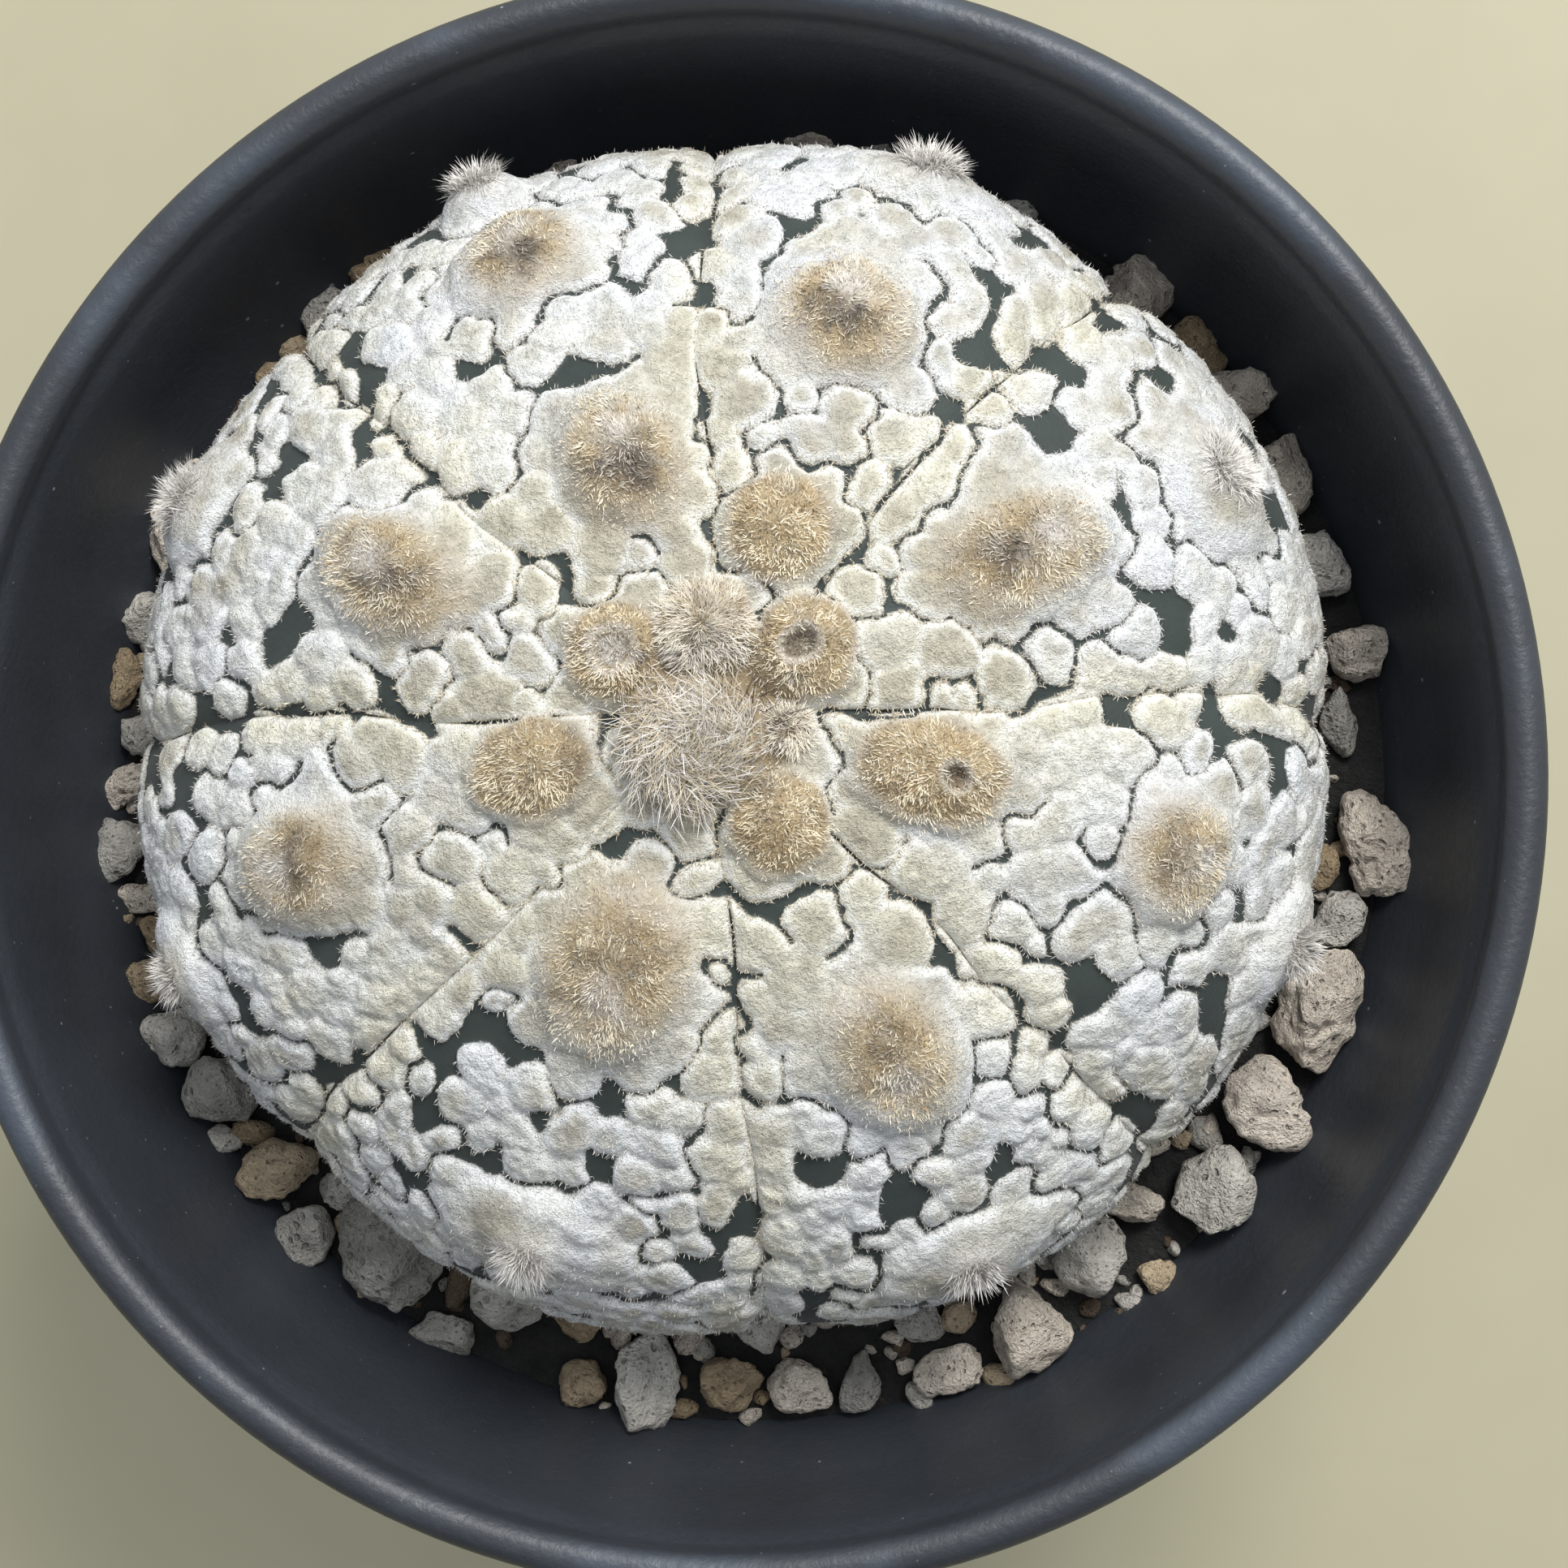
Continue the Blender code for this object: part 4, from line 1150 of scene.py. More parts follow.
# painted shade in a thin band right at each island's edge
edge_shade = smooth_step(tree, edge, 0.22, 0.04)
rim_band = times(tree, smooth_step(tree, edge, 0.10, 0.24), smooth_step(tree, edge, 0.72, 0.36))
rimmed = mix_colour(tree, times(tree, rim_band, 0.42), crease_shaded, (0.97, 0.97, 0.95))
edge_shaded = mix_colour(tree, times(tree, edge_shade, 0.22), rimmed, (0.50, 0.49, 0.46))
wool_light = mix_colour(tree, broad.outputs["Grain"], (0.34, 0.24, 0.115), (0.60, 0.48, 0.30))
wool_deep = mix_colour(tree, fluff_tone, (0.07, 0.05, 0.034), (0.24, 0.19, 0.14))
wool_brown = mix_colour(tree, attribute(tree, "wool_dark"), wool_light, wool_deep)
wool_colour = mix_colour(tree, attribute(tree, "wool_white"), wool_brown, (0.68, 0.65, 0.61))
woolly = mix_colour(tree, attribute(tree, "wool"), edge_shaded, wool_colour)
skin_colour = mix_colour(tree, broad.outputs["Cloud"], (0.014, 0.020, 0.018), (0.044, 0.056, 0.050))
whole = mix_colour(tree, felt_mask, skin_colour, woolly)
tree.links.new(whole, shader.inputs["Base Color"])
tree.links.new(math_node(tree, "ADD", times(tree, felt_mask, 0.42), 0.52),
               shader.inputs["Roughness"])
shader.inputs["Specular IOR Level"].default_value = 0.22
shader.inputs["Sheen Weight"].default_value = 0.08
shader.inputs["Sheen Roughness"].default_value = 0.6
fluffy = math_node(tree, "ADD", times(tree, fibre.outputs["Grain"], 0.5), broad.outputs["Grain"])
rough_share = math_node(tree, "ADD", felt_mask, 0.12)
bump_into(tree, shader, times(tree, fluffy, rough_share), 0.00034)
print("felt finish ready")

# %% [markdown]
# The plant is meshed rib by rib, from groove to groove, because one mesh fine enough for the cracks
# would be too heavy. Each row of points keeps the same spacing, so a row near the crown has fewer
# points than one at the shoulder, and neighbouring rows are laced together like a zip.

# %% Ribs
POINT_SPACING = 0.26
CROWN_CAP = 6.9         # the crown's own disc reaches this far
FINE_PAST_SHOULDER = 3.0
RIB_RUNS = np.concatenate([
    np.arange(CROWN_CAP, SHOULDER + FINE_PAST_SHOULDER, POINT_SPACING),
    np.arange(SHOULDER + 3.3, SHOULDER + 12, 0.42),
    np.linspace(SHOULDER + 12.6, RUN_END, 16)])


def lace(first, second, first_start, second_start):
    """Triangles between two rows of points given by their shares along the row."""
    faces = []
    i, j = 0, 0
    while i < len(first) - 1 or j < len(second) - 1:
        take_first = j == len(second) - 1 or (i < len(first) - 1 and first[i + 1] < second[j + 1])
        if take_first:
            faces.append((first_start + i, second_start + j, first_start + i + 1))
            i += 1
        else:
            faces.append((first_start + i, second_start + j, second_start + j + 1))
            j += 1
    return faces


def lace_rows(rows, values):
    """Lace every two neighbouring rows: each point's row value and share, and the triangles."""
    starts = np.cumsum([0] + [len(row) for row in rows])
    faces = []
    for index in range(len(rows) - 1):
        faces += lace(rows[index], rows[index + 1], int(starts[index]), int(starts[index + 1]))
    value = np.concatenate([np.full(len(row), value) for row, value in zip(rows, values)])
    return value, np.concatenate(rows), np.array(faces)


def laced_sheet(runs, start, span, spacing_of):
    """Runs and angles of every point of a sheet of the plant, and its triangles."""
    rows = []
    for run in runs:
        points = int(span * np.interp(run, RUN, RUN_RADIUS) / spacing_of(run)) + 1
        rows.append(np.linspace(0, 1, max(4, points)))
    run, share, faces = lace_rows(rows, runs)
    return run, start + span * share, faces


def rib_spacing(run):
    """Even down to just past the shoulder, then wider and wider under the belly."""
    past = run - SHOULDER - FINE_PAST_SHOULDER
    return POINT_SPACING if past < 0.0 else POINT_SPACING * (1.0 + past * 0.12)


rib_points, rib_normals, rib_numbers = [], [], []
total = 0
for number in range(len(GROOVES)):
    start, span = rib_span(number)
    run, angle, faces = laced_sheet(RIB_RUNS, start, span, rib_spacing)
    point, normal, numbers = plant_surface(run, angle)
    rib = mesh_object(f"rib_{number + 1}", point, faces, felt_finish, numbers)
    settle_in(rib, "cactus_felt", "cactus_body")
    rib_points.append(point)
    rib_normals.append(normal)
    rib_numbers.append(numbers)
    total += len(faces)
print("rib triangles", total, "in all")

# %% [markdown]
# The crown is a disc of its own, so that no seam between ribs shows in its wool.

# %% Crown
crown_runs = np.arange(0.02, CROWN_CAP + 0.3, POINT_SPACING)
run, angle, faces = laced_sheet(crown_runs, 0.0, 2 * math.pi, lambda run: POINT_SPACING)
crown_point, crown_normal, crown_numbers = plant_surface(run, angle)
crown = mesh_object("crown", crown_point, faces, felt_finish, crown_numbers)
settle_in(crown, "cactus_felt")
print("crown triangles", len(faces))

# %% [markdown]
# Wool is what makes an areole. Each strand is a thin tapering ribbon of two quads and a tip, rooted
# on the surface that was just made. Ribbons face away from the skin, so from above they show their
# width. Strands on a cushion lean outward a little and curl in clumps, those of the crown's grey
# mound lie tangled, and the pale tufts at the shoulder stand out like a shaving brush.

# %% Strands
def ribbon_mesh(name, roots, normals, ways, lengths, widths, bend, material, numbers):
    """Ribbons of five triangles each; bend pulls each one toward the given direction as it grows."""
    count = len(roots)
    flat = unit(np.cross(ways, normals) + 1e-4)
    levels = []
    for share, width_share in ((0.0, 1.0), (0.4, 0.85), (0.75, 0.55), (1.0, 0.0)):
        middle = roots + ways * (lengths * share)[:, None] + bend * (lengths * share ** 2)[:, None]
        half = flat * (widths * width_share / 2)[:, None]
        levels += [middle - half, middle + half] if width_share else [middle]
    points = np.stack(levels, axis=1).reshape(-1, 3)
    pattern = np.array([(0, 1, 3), (0, 3, 2), (2, 3, 5), (2, 5, 4), (4, 5, 6)])
    faces = (np.arange(count)[:, None, None] * 7 + pattern[None]).reshape(-1, 3)
    kept = {label: np.repeat(values, 7) for label, values in numbers.items()}
    kept["tip"] = np.tile([0.0, 0.0, 0.4, 0.4, 0.75, 0.75, 1.0], count)
    return mesh_object(name, points, faces, material, kept, smooth=False)


def tuft_mesh(name, roots, normals, ways, lengths, widths, material, numbers):
    """The shortest fuzz: one triangle each."""
    count = len(roots)
    flat = unit(np.cross(ways, normals) + 1e-4) * (widths / 2)[:, None]
    points = np.stack([roots - flat, roots + flat, roots + ways * lengths[:, None]], axis=1).reshape(-1, 3)
    kept = {label: np.repeat(values, 3) for label, values in numbers.items()}
    kept["tip"] = np.tile([0.0, 0.0, 1.0], count)
    return mesh_object(name, points, np.arange(3 * count).reshape(-1, 3), material, kept, smooth=False)


all_points = np.concatenate(rib_points + [crown_point])
all_normals = np.concatenate(rib_normals + [crown_normal])
all_numbers = {label: np.concatenate([part[label] for part in rib_numbers + [crown_numbers]])
               for label in ("felt", "wool", "wool_dark", "wool_white", "cream", "stain")}
areole_reach = np.stack([oval_reach(all_points, areole_half, row, 7.0) for row in range(len(AREOLES))])
nearest_areole = areole_reach.argmin(axis=0)
nearest_reach = areole_reach.min(axis=0)
print("points to root strands on", len(all_points))

# %% [markdown]
# Wool and fuzz share one finish. A strand is paler toward its tip and darker toward its root, where
# painted shade stands for the depth of the wool, and each has its own tone, so that a cushion looks
# like many hairs rather than one lump.

# %% Wool finish
wool_finish, tree, shader, place = new_material("areole_wool")
dark_wool = attribute(tree, "wool_dark")
tone = attribute(tree, "tone")
light = mix_colour(tree, tone, (0.50, 0.34, 0.14), (1.0, 0.88, 0.62))
deep = mix_colour(tree, tone, (0.065, 0.050, 0.036), (0.52, 0.46, 0.37))
strand_colour = mix_colour(tree, dark_wool, light, deep)
whitened = mix_colour(tree, attribute(tree, "white"), strand_colour, (0.86, 0.83, 0.79))
along = attribute(tree, "tip")
# painted shade toward each strand's root, deep in the wool
root_painted_shade = ramp(tree, along, [(0.0, 0.38), (0.6, 1.0)])
root_shaded = mix_colour(tree, 1.0, whitened, root_painted_shade, "MULTIPLY")
tipped = mix_colour(tree, times(tree, along, 0.22), root_shaded, (0.96, 0.90, 0.78))
clumps = place_group(tree, MOTTLE, Place=place, Cloud_Size=1.6, Grain_Size=0.3, Contrast=1.4)
clump_shade = ramp(tree, clumps.outputs["Cloud"], [(0.2, 0.78), (0.75, 1.0)])
clumped = mix_colour(tree, 1.0, tipped, clump_shade, "MULTIPLY")
tree.links.new(clumped, shader.inputs["Base Color"])
shader.inputs["Roughness"].default_value = 0.75
shader.inputs["Specular IOR Level"].default_value = 0.3
print("wool finish ready")

# %% [markdown]
# Now the wool is sown, kind by kind. It is denser in the middle of a cushion than at its edge. Noise
# bends neighbouring strands the same way, which makes clumps, and each strand takes its darkness from
# the surface it stands on. The grey mound is a mix of white strands and dark ones.

# %% Wool on the cushions
def root_near(wanted, count, weight=None):
    """Random points among the wanted ones, where the weight is higher more often."""
    choice = np.nonzero(wanted)[0]
    share = None if weight is None else weight[choice] / weight[choice].sum()
    return dice.choice(choice, size=count, replace=True, p=share)


def grow_wool(name, kind, count, length, lean, width, white, reach_limit=1.0, tangle=0.0, curl=0.6,
              brighter=0.0):
    """Strands on every cushion of one kind; white is their paleness, or in a tangle the share that is."""
    wanted = (areole_kind[nearest_areole] == kind) & (nearest_reach < reach_limit)
    if kind == TAN:
        wanted |= (nearest_reach >= 1.0) & (all_numbers["wool"] > 0.8)
    at = root_near(wanted, count, 1.02 - ease(nearest_reach, 0.5 * reach_limit, reach_limit))
    away = all_points[at] - areole_point[nearest_areole[at]]
    normal = all_normals[at]
    away = unit(away - (away * normal).sum(1)[:, None] * normal)
    out = np.clip(nearest_reach[at], 0.0, 1.2)
    if tangle:
        combed = np.cross(normal, away) + 0.9 * noise_vector(all_points[at], 3.5, 57)
        away = unit(combed + 0.55 * dice.normal(size=(count, 3)))
        away = away - (away * normal).sum(1)[:, None] * normal
        out = np.full(count, 1.15)
    clump = noise_vector(all_points[at], 0.9, 47) + 0.7 * noise_vector(all_points[at], 2.0, 49)
    ways = unit(normal * (1.0 - 0.62 * out)[:, None] + away * (lean * out)[:, None]
                + dice.normal(size=(count, 3)) * 0.48 + clump * curl)
    bend = away * 0.3 + dice.normal(size=(count, 3)) * (0.16 + 0.25 * tangle)
    shorter = 1.25 - 0.60 * np.clip(out, 0, 1) * (1 - tangle)
    lengths = length * dice.uniform(0.5, 1.15, count) * shorter
    roots = all_points[at] + dice.normal(size=(count, 3)) * 0.08 - ways * 0.15
    shade = (all_numbers["wool_dark"][at] + 0.30 * soft_noise(roots, 1.0, 48)
             + dice.normal(size=count) * 0.12)
    tone = 0.55 + brighter + 1.0 * soft_noise(roots, 0.8, 46) + dice.normal(size=count) * 0.22
    if tangle:
        paler = np.where(dice.random(count) < white, 0.95, 0.10)
    else:
        paler = np.maximum(white, 0.85 * all_numbers["wool_white"][at]) + 0.45 * ease(out, 0.75, 1.25)
    piece = ribbon_mesh(name, roots, normal, ways, lengths, width * dice.uniform(0.6, 1.3, count), bend,
                        wool_finish, {"wool_dark": np.clip(shade, 0, 1), "tone": np.clip(tone, 0, 1),
                                      "white": np.clip(paler + dice.normal(size=count) * 0.12, 0, 1)})
    settle_in(piece, "cactus_felt")
    return piece


wool_pieces = [
    grow_wool("ochre_wool", OCHRE, 11500, 0.72, 0.55, 0.105, 0.04, 1.15, curl=0.75, brighter=0.12),
    grow_wool("brown_wool", BROWN, 17000, 0.72, 0.50, 0.105, 0.05, 1.22, curl=1.0, brighter=0.06),
    grow_wool("pale_wool", PALE, 5500, 1.75, 0.8, 0.095, 1.0, 0.80, curl=0.35),
    grow_wool("grey_wool", GREY, 4500, 1.5, 0.9, 0.085, 0.38, 1.05, tangle=1.0, curl=1.0),
    grow_wool("tan_wool", TAN, 4500, 1.15, 0.7, 0.085, 0.50, 1.1, curl=0.9, brighter=0.35),
]
print("strands", sum(len(piece.data.polygons) // 5 for piece in wool_pieces))

# %% [markdown]
# Felt has no clean outline: short hairs stick out of every island's edge, over the cracks and round
# the silhouette. They are single triangles, about half a millimetre long. A few stiff dark bristles
# stand in the crown, the remains of old flowers.

# %% Fuzz and bristles
def grow_fuzz(name, count, low, high, length, lift):
    """Short white hairs where the felt is between two depths."""
    wanted = (all_numbers["felt"] > low) & (all_numbers["felt"] < high) & (all_numbers["wool"] < 0.4)
    at = root_near(wanted, count)
    ways = unit(all_normals[at] * lift + dice.normal(size=(count, 3)))
    roots = all_points[at] + dice.normal(size=(count, 3)) * 0.05
    lengths = length * dice.uniform(0.5, 1.3, count)
    widths = dice.uniform(0.06, 0.12, count)
    whiteness = np.clip(1.0 - 0.5 * all_numbers["cream"][at] - 0.3 * all_numbers["stain"][at], 0, 1)
    numbers = {"wool_dark": np.zeros(count), "tone": dice.random(count), "white": whiteness}
    piece = tuft_mesh(name, roots, all_normals[at], ways, lengths, widths, wool_finish, numbers)
    return settle_in(piece, "cactus_felt")


grow_fuzz("edge_fuzz", 60000, 0.0, 0.30, 0.50, 0.55)
grow_fuzz("felt_fuzz", 30000, 0.34, 9.0, 0.40, 0.35)

bristle_finish, tree, shader, place = new_material("bristle")
streaks = place_group(tree, MOTTLE, Place=place, Cloud_Size=0.8, Grain_Size=0.1, Contrast=1.2)
streaked = ramp(tree, streaks.outputs["Cloud"], [(0.2, (0.03, 0.02, 0.015)), (0.8, (0.12, 0.08, 0.05))])
tree.links.new(streaked, shader.inputs["Base Color"])
shader.inputs["Roughness"].default_value = 0.5
BRISTLES = 34
middle = np.array([PLANT_X + 3.4, PLANT_Y - 0.3, CROWN + 1.3])
roots = middle + dice.normal(size=(BRISTLES, 3)) * np.array([1.1, 1.3, 0.25])
ways = unit(dice.normal(size=(BRISTLES, 3)) * np.array([0.8, 0.9, 0.25]) + np.array([0.2, 0.5, 0.35]))
upward = np.tile([0.0, 0.0, 1.0], (BRISTLES, 1))
bristles = ribbon_mesh("bristles", roots, upward, ways, dice.uniform(1.6, 3.2, BRISTLES),
                       np.full(BRISTLES, 0.11), dice.normal(size=(BRISTLES, 3)) * 0.08, bristle_finish,
                       {"tone": dice.random(BRISTLES)})
settle_in(bristles, "cactus_felt")
print("fuzz and bristles grown")

# %% [markdown]
# Pumice, grey stone, fired clay and bark share one kind of finish: two tones that vary from stone to
# stone, clouded, grained and pitted, with painted shade darkening the pits. Real pumice and fired clay
# are never shiny, so it is rough all over.

# %% Stone finishes
def stone_finish(name, first, second, pit_shade_colour, pore_size, depth):
    """Rough stone in two tones that vary from stone to stone, with pits darkened by painted shade."""
    material, tree, shader, place = new_material(name)
    mottle = place_group(tree, MOTTLE, Place=place, Cloud_Size=3.2, Grain_Size=0.35, Contrast=1.5)
    pores = place_group(tree, PORES, Place=place, Pore_Size=pore_size, Depth=1.0)
    ground = mix_colour(tree, attribute(tree, "tone"), first, second)
    cloud_shade = ramp(tree, mottle.outputs["Cloud"], [(0.22, 0.68), (0.75, 1.14)])
    clouded = mix_colour(tree, 1.0, ground, cloud_shade, "MULTIPLY")
    grain_shade = ramp(tree, mottle.outputs["Grain"], [(0.2, 0.84), (0.75, 1.06)])
    grained = mix_colour(tree, 1.0, clouded, grain_shade, "MULTIPLY")
    # painted shade in the pits
    pit_shaded = mix_colour(tree, times(tree, pores.outputs["Pit"], 0.55), grained, pit_shade_colour)
    tree.links.new(pit_shaded, shader.inputs["Base Color"])
    shader.inputs["Roughness"].default_value = 0.92
    shader.inputs["Specular IOR Level"].default_value = 0.25
    bump_into(tree, shader, math_node(tree, "ADD", pores.outputs["Height"], mottle.outputs["Grain"]), depth)
    return material


STONE_LOOKS = [
    # slot, first tone, second tone, painted shade colour of the pits, their size in millimetres, bump in
    # metres
    ("pale_pumice", (0.86, 0.76, 0.63), (0.98, 0.87, 0.74), (0.30, 0.25, 0.20), 1.1, 0.0006),
    ("grey_stone", (0.42, 0.40, 0.36), (0.76, 0.72, 0.64), (0.16, 0.15, 0.13), 1.6, 0.0005),
    ("ochre_stone", (0.48, 0.36, 0.22), (0.70, 0.56, 0.38), (0.20, 0.13, 0.08), 0.9, 0.0005),
    ("bark", (0.10, 0.07, 0.05), (0.22, 0.16, 0.11), (0.04, 0.03, 0.02), 0.8, 0.0004),
]
STONE_FINISHES = {look[0]: stone_finish(*look) for look in STONE_LOOKS}
print("stone finishes", list(STONE_FINISHES))

# %% [markdown]
# The stones of the top dressing start as the frame's own shapes. Each is smoothed by subdivision,
# broken with a few flat faces, stretched back over its own box, and roughened with noise at four
# scales; pumice and clay also get hollows. All sink a little into the mix, and the few behind the
# plant are larger and stand further out, so that they show past it.

# %% Stones
FLAT_FACES = 7
SMALL_STONE = 9.5       # stones shorter than this get one subdivision less
SINK = 0.3
BACK_WITHIN = 22.0      # the stones behind the plant: this close to the middle line,
BACK_BEYOND = 54.0      # and this far back
BACK_GROWN = 1.12
BACK_OUT = 1.6
BACK_DOWN = 0.4
node_slot = {part["node"]: part["material_slot"] for part in frame["record"]["subparts"]}


def smoothed_copy(node, levels):
    """Points and triangles of a node's mesh after smooth subdivision."""
    copy = node.copy()
    copy.data = node.data.copy()
    bpy.context.scene.collection.objects.link(copy)
    weld = copy.modifiers.new("weld", "WELD")
    weld.merge_threshold = 1e-6
    smooth = copy.modifiers.new("smooth", "SUBSURF")
    smooth.levels = levels
    bpy.context.view_layer.update()
    mesh = bpy.data.meshes.new_from_object(copy.evaluated_get(bpy.context.evaluated_depsgraph_get()))
    bpy.data.objects.remove(copy, do_unlink=True)
    bm = bmesh.new()
    bm.from_mesh(mesh)
    bmesh.ops.triangulate(bm, faces=bm.faces)
    points = np.array([tuple(vertex.co) for vertex in bm.verts]) / MM
    faces = np.array([[vertex.index for vertex in face.verts] for face in bm.faces])
    bm.free()
    bpy.data.meshes.remove(mesh)
    return points, faces


def fill_box(points, low, high):
    """Stretch points to fill a box."""
    now_low, now_high = points.min(axis=0), points.max(axis=0)
    return (points - now_low) / (now_high - now_low) * (high - low) + low


def roughen(points, low, high, kind, seed):
    """Break a smoothed stone: flat faces first, then lumps, and pits where its kind has them."""
    roll = np.random.default_rng(seed)
    shape = fill_box(points, -np.ones(3), np.ones(3))
    for _ in range(FLAT_FACES):
        way = unit(roll.normal(size=3))
        over = np.maximum(shape @ way - roll.uniform(0.52, 0.84), 0.0)
        shape = shape - way * (0.80 * over)[:, None]
    points = fill_box(shape, low, high)
    outward = unit((points - (low + high) / 2) / (high - low))
    size = (high - low).min() / 2
    ridges = np.abs(soft_noise(points, size * 0.6, seed + 1))
    lumps = 0.20 * soft_noise(points, size * 0.95, seed) - 0.16 * ridges
    lumps += (0.06 * soft_noise(points, size * 0.3, seed + 2)
              + 0.04 * soft_noise(points, size * 0.17, seed + 4))
    if kind != "grey_stone":
        lumps -= 0.16 * ease(soft_noise(points, size * 0.34, seed + 3), 0.30, 0.75)
    return points + outward * (lumps * size)[:, None]


stone_triangles = 0
for index, (name, node) in enumerate(sorted(frame["nodes"].items())):
    kind = node_slot[name]
    if kind not in STONE_FINISHES:
        continue
    low, high = (np.array(corner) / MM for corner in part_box(name))
    points, faces = smoothed_copy(node, 2 if (high - low).max() < SMALL_STONE else 3)
    points = roughen(points, low, high, kind, 200 + 7 * index)
    middle = (low + high) / 2
    if abs(middle[0]) < BACK_WITHIN and middle[1] > BACK_BEYOND:
        points = middle + (points - middle) * BACK_GROWN + np.array([0.0, BACK_OUT, -BACK_DOWN])
    points = points - np.array([0.0, 0.0, SINK])
    tone = np.full(len(points), ((index * 37) % 100) / 100)
    stone = mesh_object(f"{name}_skin", points, faces, STONE_FINISHES[kind], {"tone": tone})
    settle_in(stone, kind, name)
    stone_triangles += len(faces)
print("stone triangles", stone_triangles)

# %% [markdown]
# Between the stones lie smaller bits: crumbs of pumice and clay, flakes of bark and dark fines. They
# are dealt round the ring wherever no stone stands, each one of six broken shapes, and all bits of one
# kind are joined into one mesh.

# %% Grit
RING_INNER = 40.0
RING_OUTER = 62.8
GRITTY_FROM = 150.0     # on this side, in degrees, the bits reach the wall
GRITTY_TO = 325.0
BARE_EDGE = 5.0         # elsewhere they keep this far from it
CRUMB_SHAPES = 6
CRUMB_CUTS = 8


def crumb_shape(points_seed):
    """A small broken lump of eighty triangles."""
    bm = bmesh.new()
    bmesh.ops.create_icosphere(bm, subdivisions=2, radius=1.0)
    points = np.array([tuple(vertex.co) for vertex in bm.verts])
    faces = np.array([[vertex.index for vertex in face.verts] for face in bm.faces])
    bm.free()
    points = points * (1.0 + 0.22 * soft_noise(points, 0.9, points_seed))[:, None]
    roll = np.random.default_rng(points_seed)
    for _ in range(CRUMB_CUTS):
        way = unit(roll.normal(size=3))
        points = points - way * np.maximum(points @ way - roll.uniform(0.45, 0.8), 0.0)[:, None]
    return points, faces


stone_boxes = [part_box(name) for name in frame["nodes"] if node_slot[name] in STONE_FINISHES]
stone_middle = np.array([tuple((low + high) / 2) for low, high in stone_boxes]) / MM
stone_half = np.array([tuple((high - low) / 2) for low, high in stone_boxes]) / MM


def scatter_crumbs(name, kind, count, smallest, largest, lift, seed):
    """Bits of one kind, kept out of the stones."""
    roll = np.random.default_rng(seed)
    shapes = [crumb_shape(seed + number) for number in range(CRUMB_SHAPES)]
    points, faces, tones, start = [], [], [], 0
    placed = 0
    for _ in range(count * 6):
        if placed == count:
            break
        distance = math.sqrt(roll.uniform(RING_INNER ** 2, RING_OUTER ** 2))
        turn = roll.uniform(0, 2 * math.pi)
        size = roll.uniform(smallest, largest) / 2
        place = np.array([distance * math.cos(turn), distance * math.sin(turn), MIX_TOP + lift * size])
        inside = (((place - stone_middle) / (stone_half + 0.45 * size)) ** 2).sum(axis=1).min()
        crowded = GRITTY_FROM < math.degrees(turn) < GRITTY_TO
        if inside < 1.0 or distance + size > (RING_OUTER if crowded else RING_OUTER - BARE_EDGE):
            continue
        shape, triangles = shapes[roll.integers(CRUMB_SHAPES)]
        spin = np.array(Matrix.Rotation(roll.uniform(0, 6.28), 3, Vector(roll.normal(size=3)).normalized()))
        stretch = np.array([1.0, roll.uniform(0.65, 1.0), roll.uniform(0.55, 0.9)])
        points.append((shape * stretch * size) @ spin.T + place)
        faces.append(triangles + start)
        tones.append(np.full(len(shape), roll.random()))
        start += len(shape)
        placed += 1
    piece = mesh_object(name, np.concatenate(points), np.concatenate(faces), STONE_FINISHES[kind],
                        {"tone": np.concatenate(tones)})
    return settle_in(piece, kind)


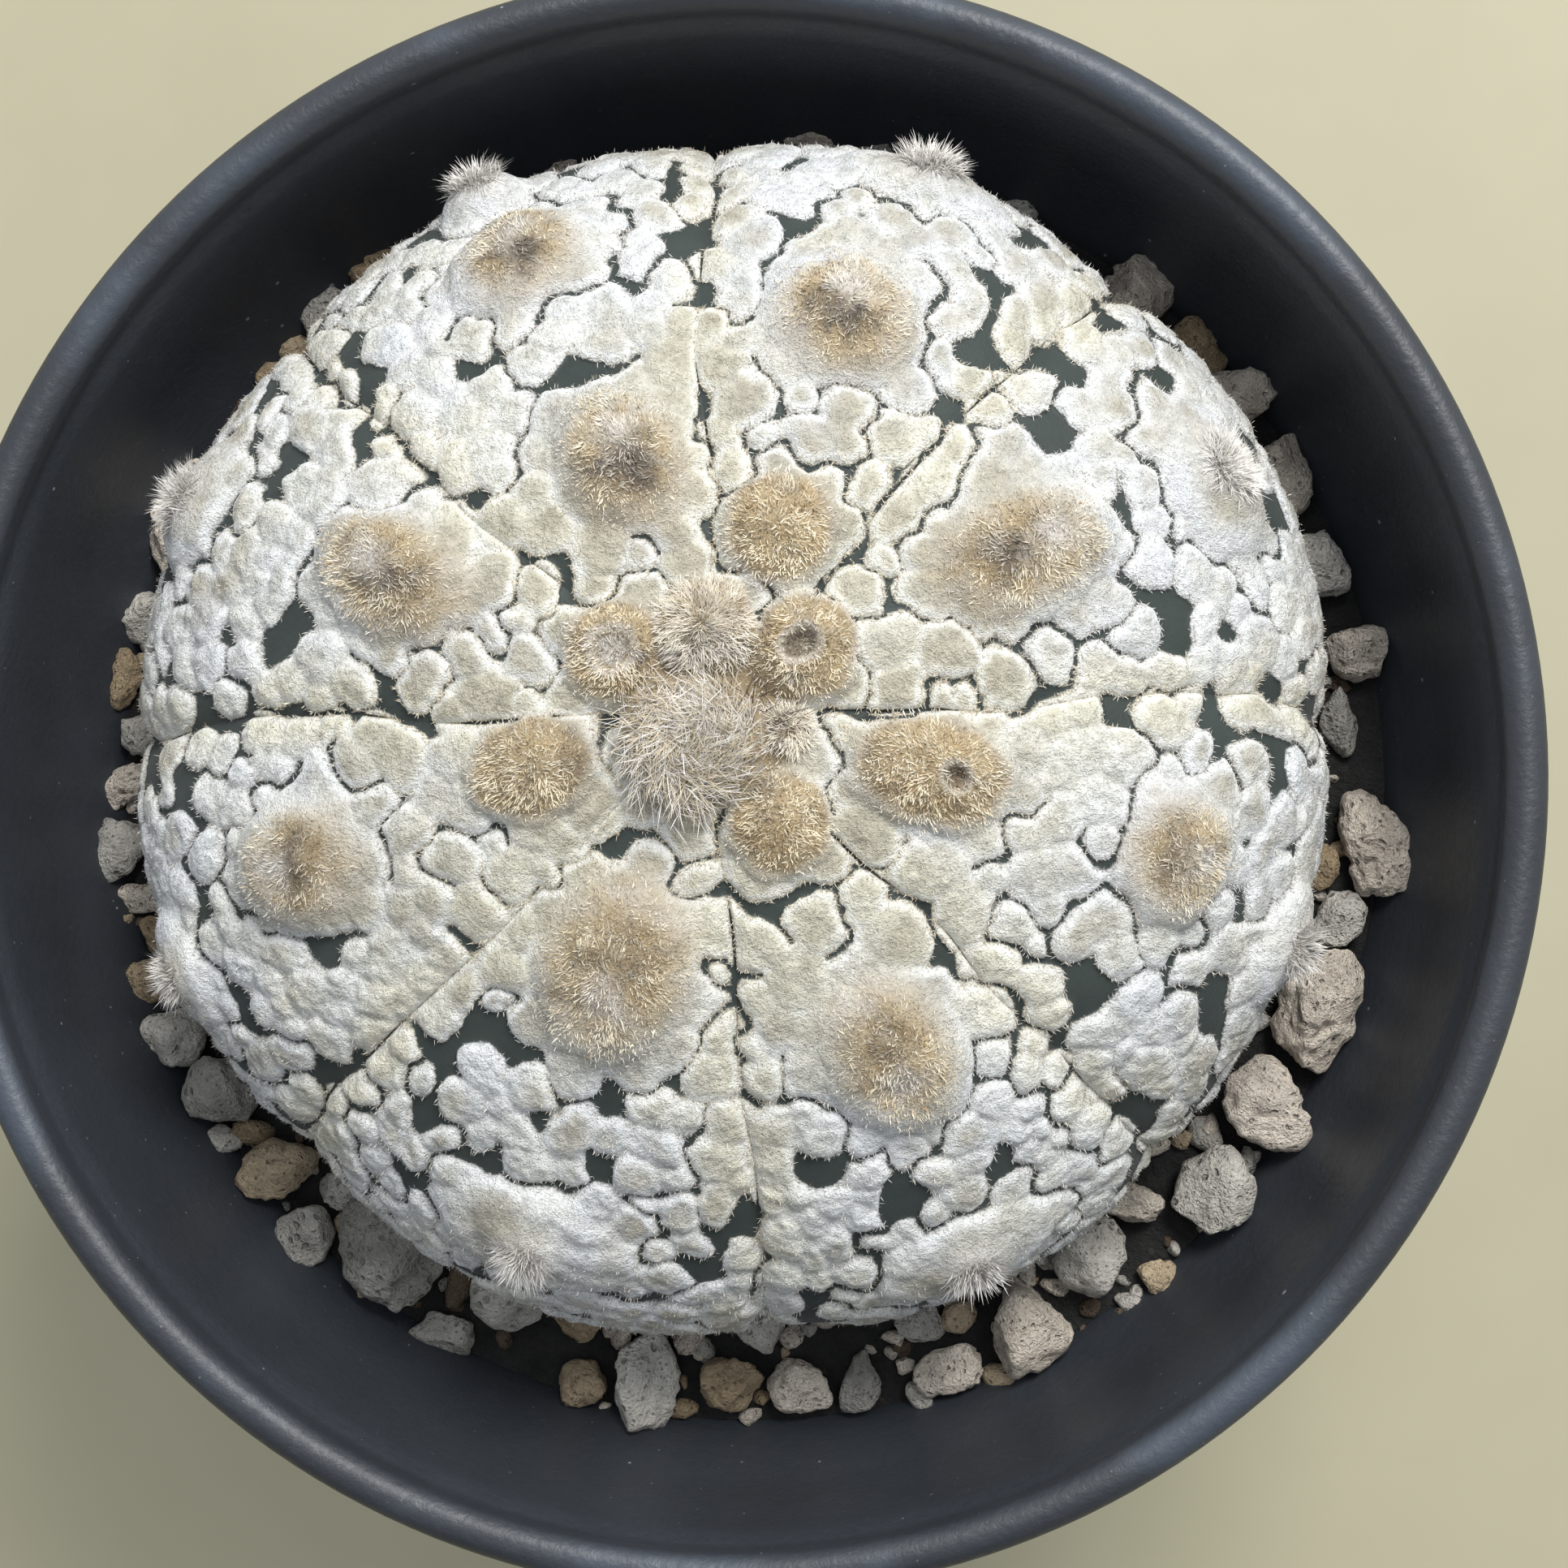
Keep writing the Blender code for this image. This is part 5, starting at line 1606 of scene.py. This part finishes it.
scatter_crumbs("pumice_crumbs", "pale_pumice", 200, 1.4, 4.4, 0.6, 501)
scatter_crumbs("grey_crumbs", "grey_stone", 160, 1.4, 4.0, 0.6, 502)
scatter_crumbs("ochre_crumbs", "ochre_stone", 180, 1.4, 4.4, 0.7, 503)
scatter_crumbs("bark_crumbs", "bark", 180, 0.8, 2.8, 0.4, 504)
print("grit laid")

# %% [markdown]
# The mix itself shows only as dark crumbly ground between the stones; its near-black colour is partly
# the mix's own and partly painted shade of the deep ring round the plant. The frame's own solid stays
# for its bulk, and a thin crumbly sheet, laced like the ribs, lies on its top.

# %% Potting mix
mix_finish, tree, shader, place = new_material("potting_mix")
crumbs = place_group(tree, MOTTLE, Place=place, Cloud_Size=2.4, Grain_Size=0.5, Contrast=1.7)
chips = place_group(tree, SPECKS, Place=place, Spacing=1.4, Size=0.34, Amount=0.18)
# near-black ground: partly the mix's own dark colour, partly painted shade of the deep ring between plant
# and wall
ground = ramp(tree, crumbs.outputs["Cloud"], [(0.2, (0.006, 0.0058, 0.0056)), (0.8, (0.022, 0.021, 0.020))])
chip_mask = times(tree, chips.outputs["Mask"], 0.6)
chipped = mix_colour(tree, chip_mask, ground, (0.05, 0.044, 0.037))
tree.links.new(chipped, shader.inputs["Base Color"])
shader.inputs["Roughness"].default_value = 0.95
bump_into(tree, shader, crumbs.outputs["Both"], 0.0006)
MIX_STEP = 1.1
MIX_INNER = 18.0
MIX_OUTER = 59.9
MIX_LIFT = 0.5          # the sheet's mean height over the solid, and the height of its lumps
MIX_LUMPS = 0.4
mix_rings = np.arange(MIX_INNER, MIX_OUTER, MIX_STEP)
rows = [np.linspace(0, 1, max(8, int(2 * math.pi * ring / MIX_STEP))) for ring in mix_rings]
radius, share, faces = lace_rows(rows, mix_rings)
turn = 2 * math.pi * share
level = np.full(len(turn), MIX_TOP + MIX_LIFT)
ground_points = np.column_stack([radius * np.cos(turn), radius * np.sin(turn), level])
ground_points[:, 2] += MIX_LUMPS * layered_noise(ground_points, 3.0, 3, 91)
mix_top = mesh_object("mix_surface", ground_points, faces, mix_finish)
settle_in(mix_top, "potting_mix")
mix_node = frame["nodes"]["potting_mix"]
mix_node.data.materials.clear()
mix_node.data.materials.append(mix_finish)
print("mix surface triangles", len(faces))

# %% Measure and finish
low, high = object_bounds()
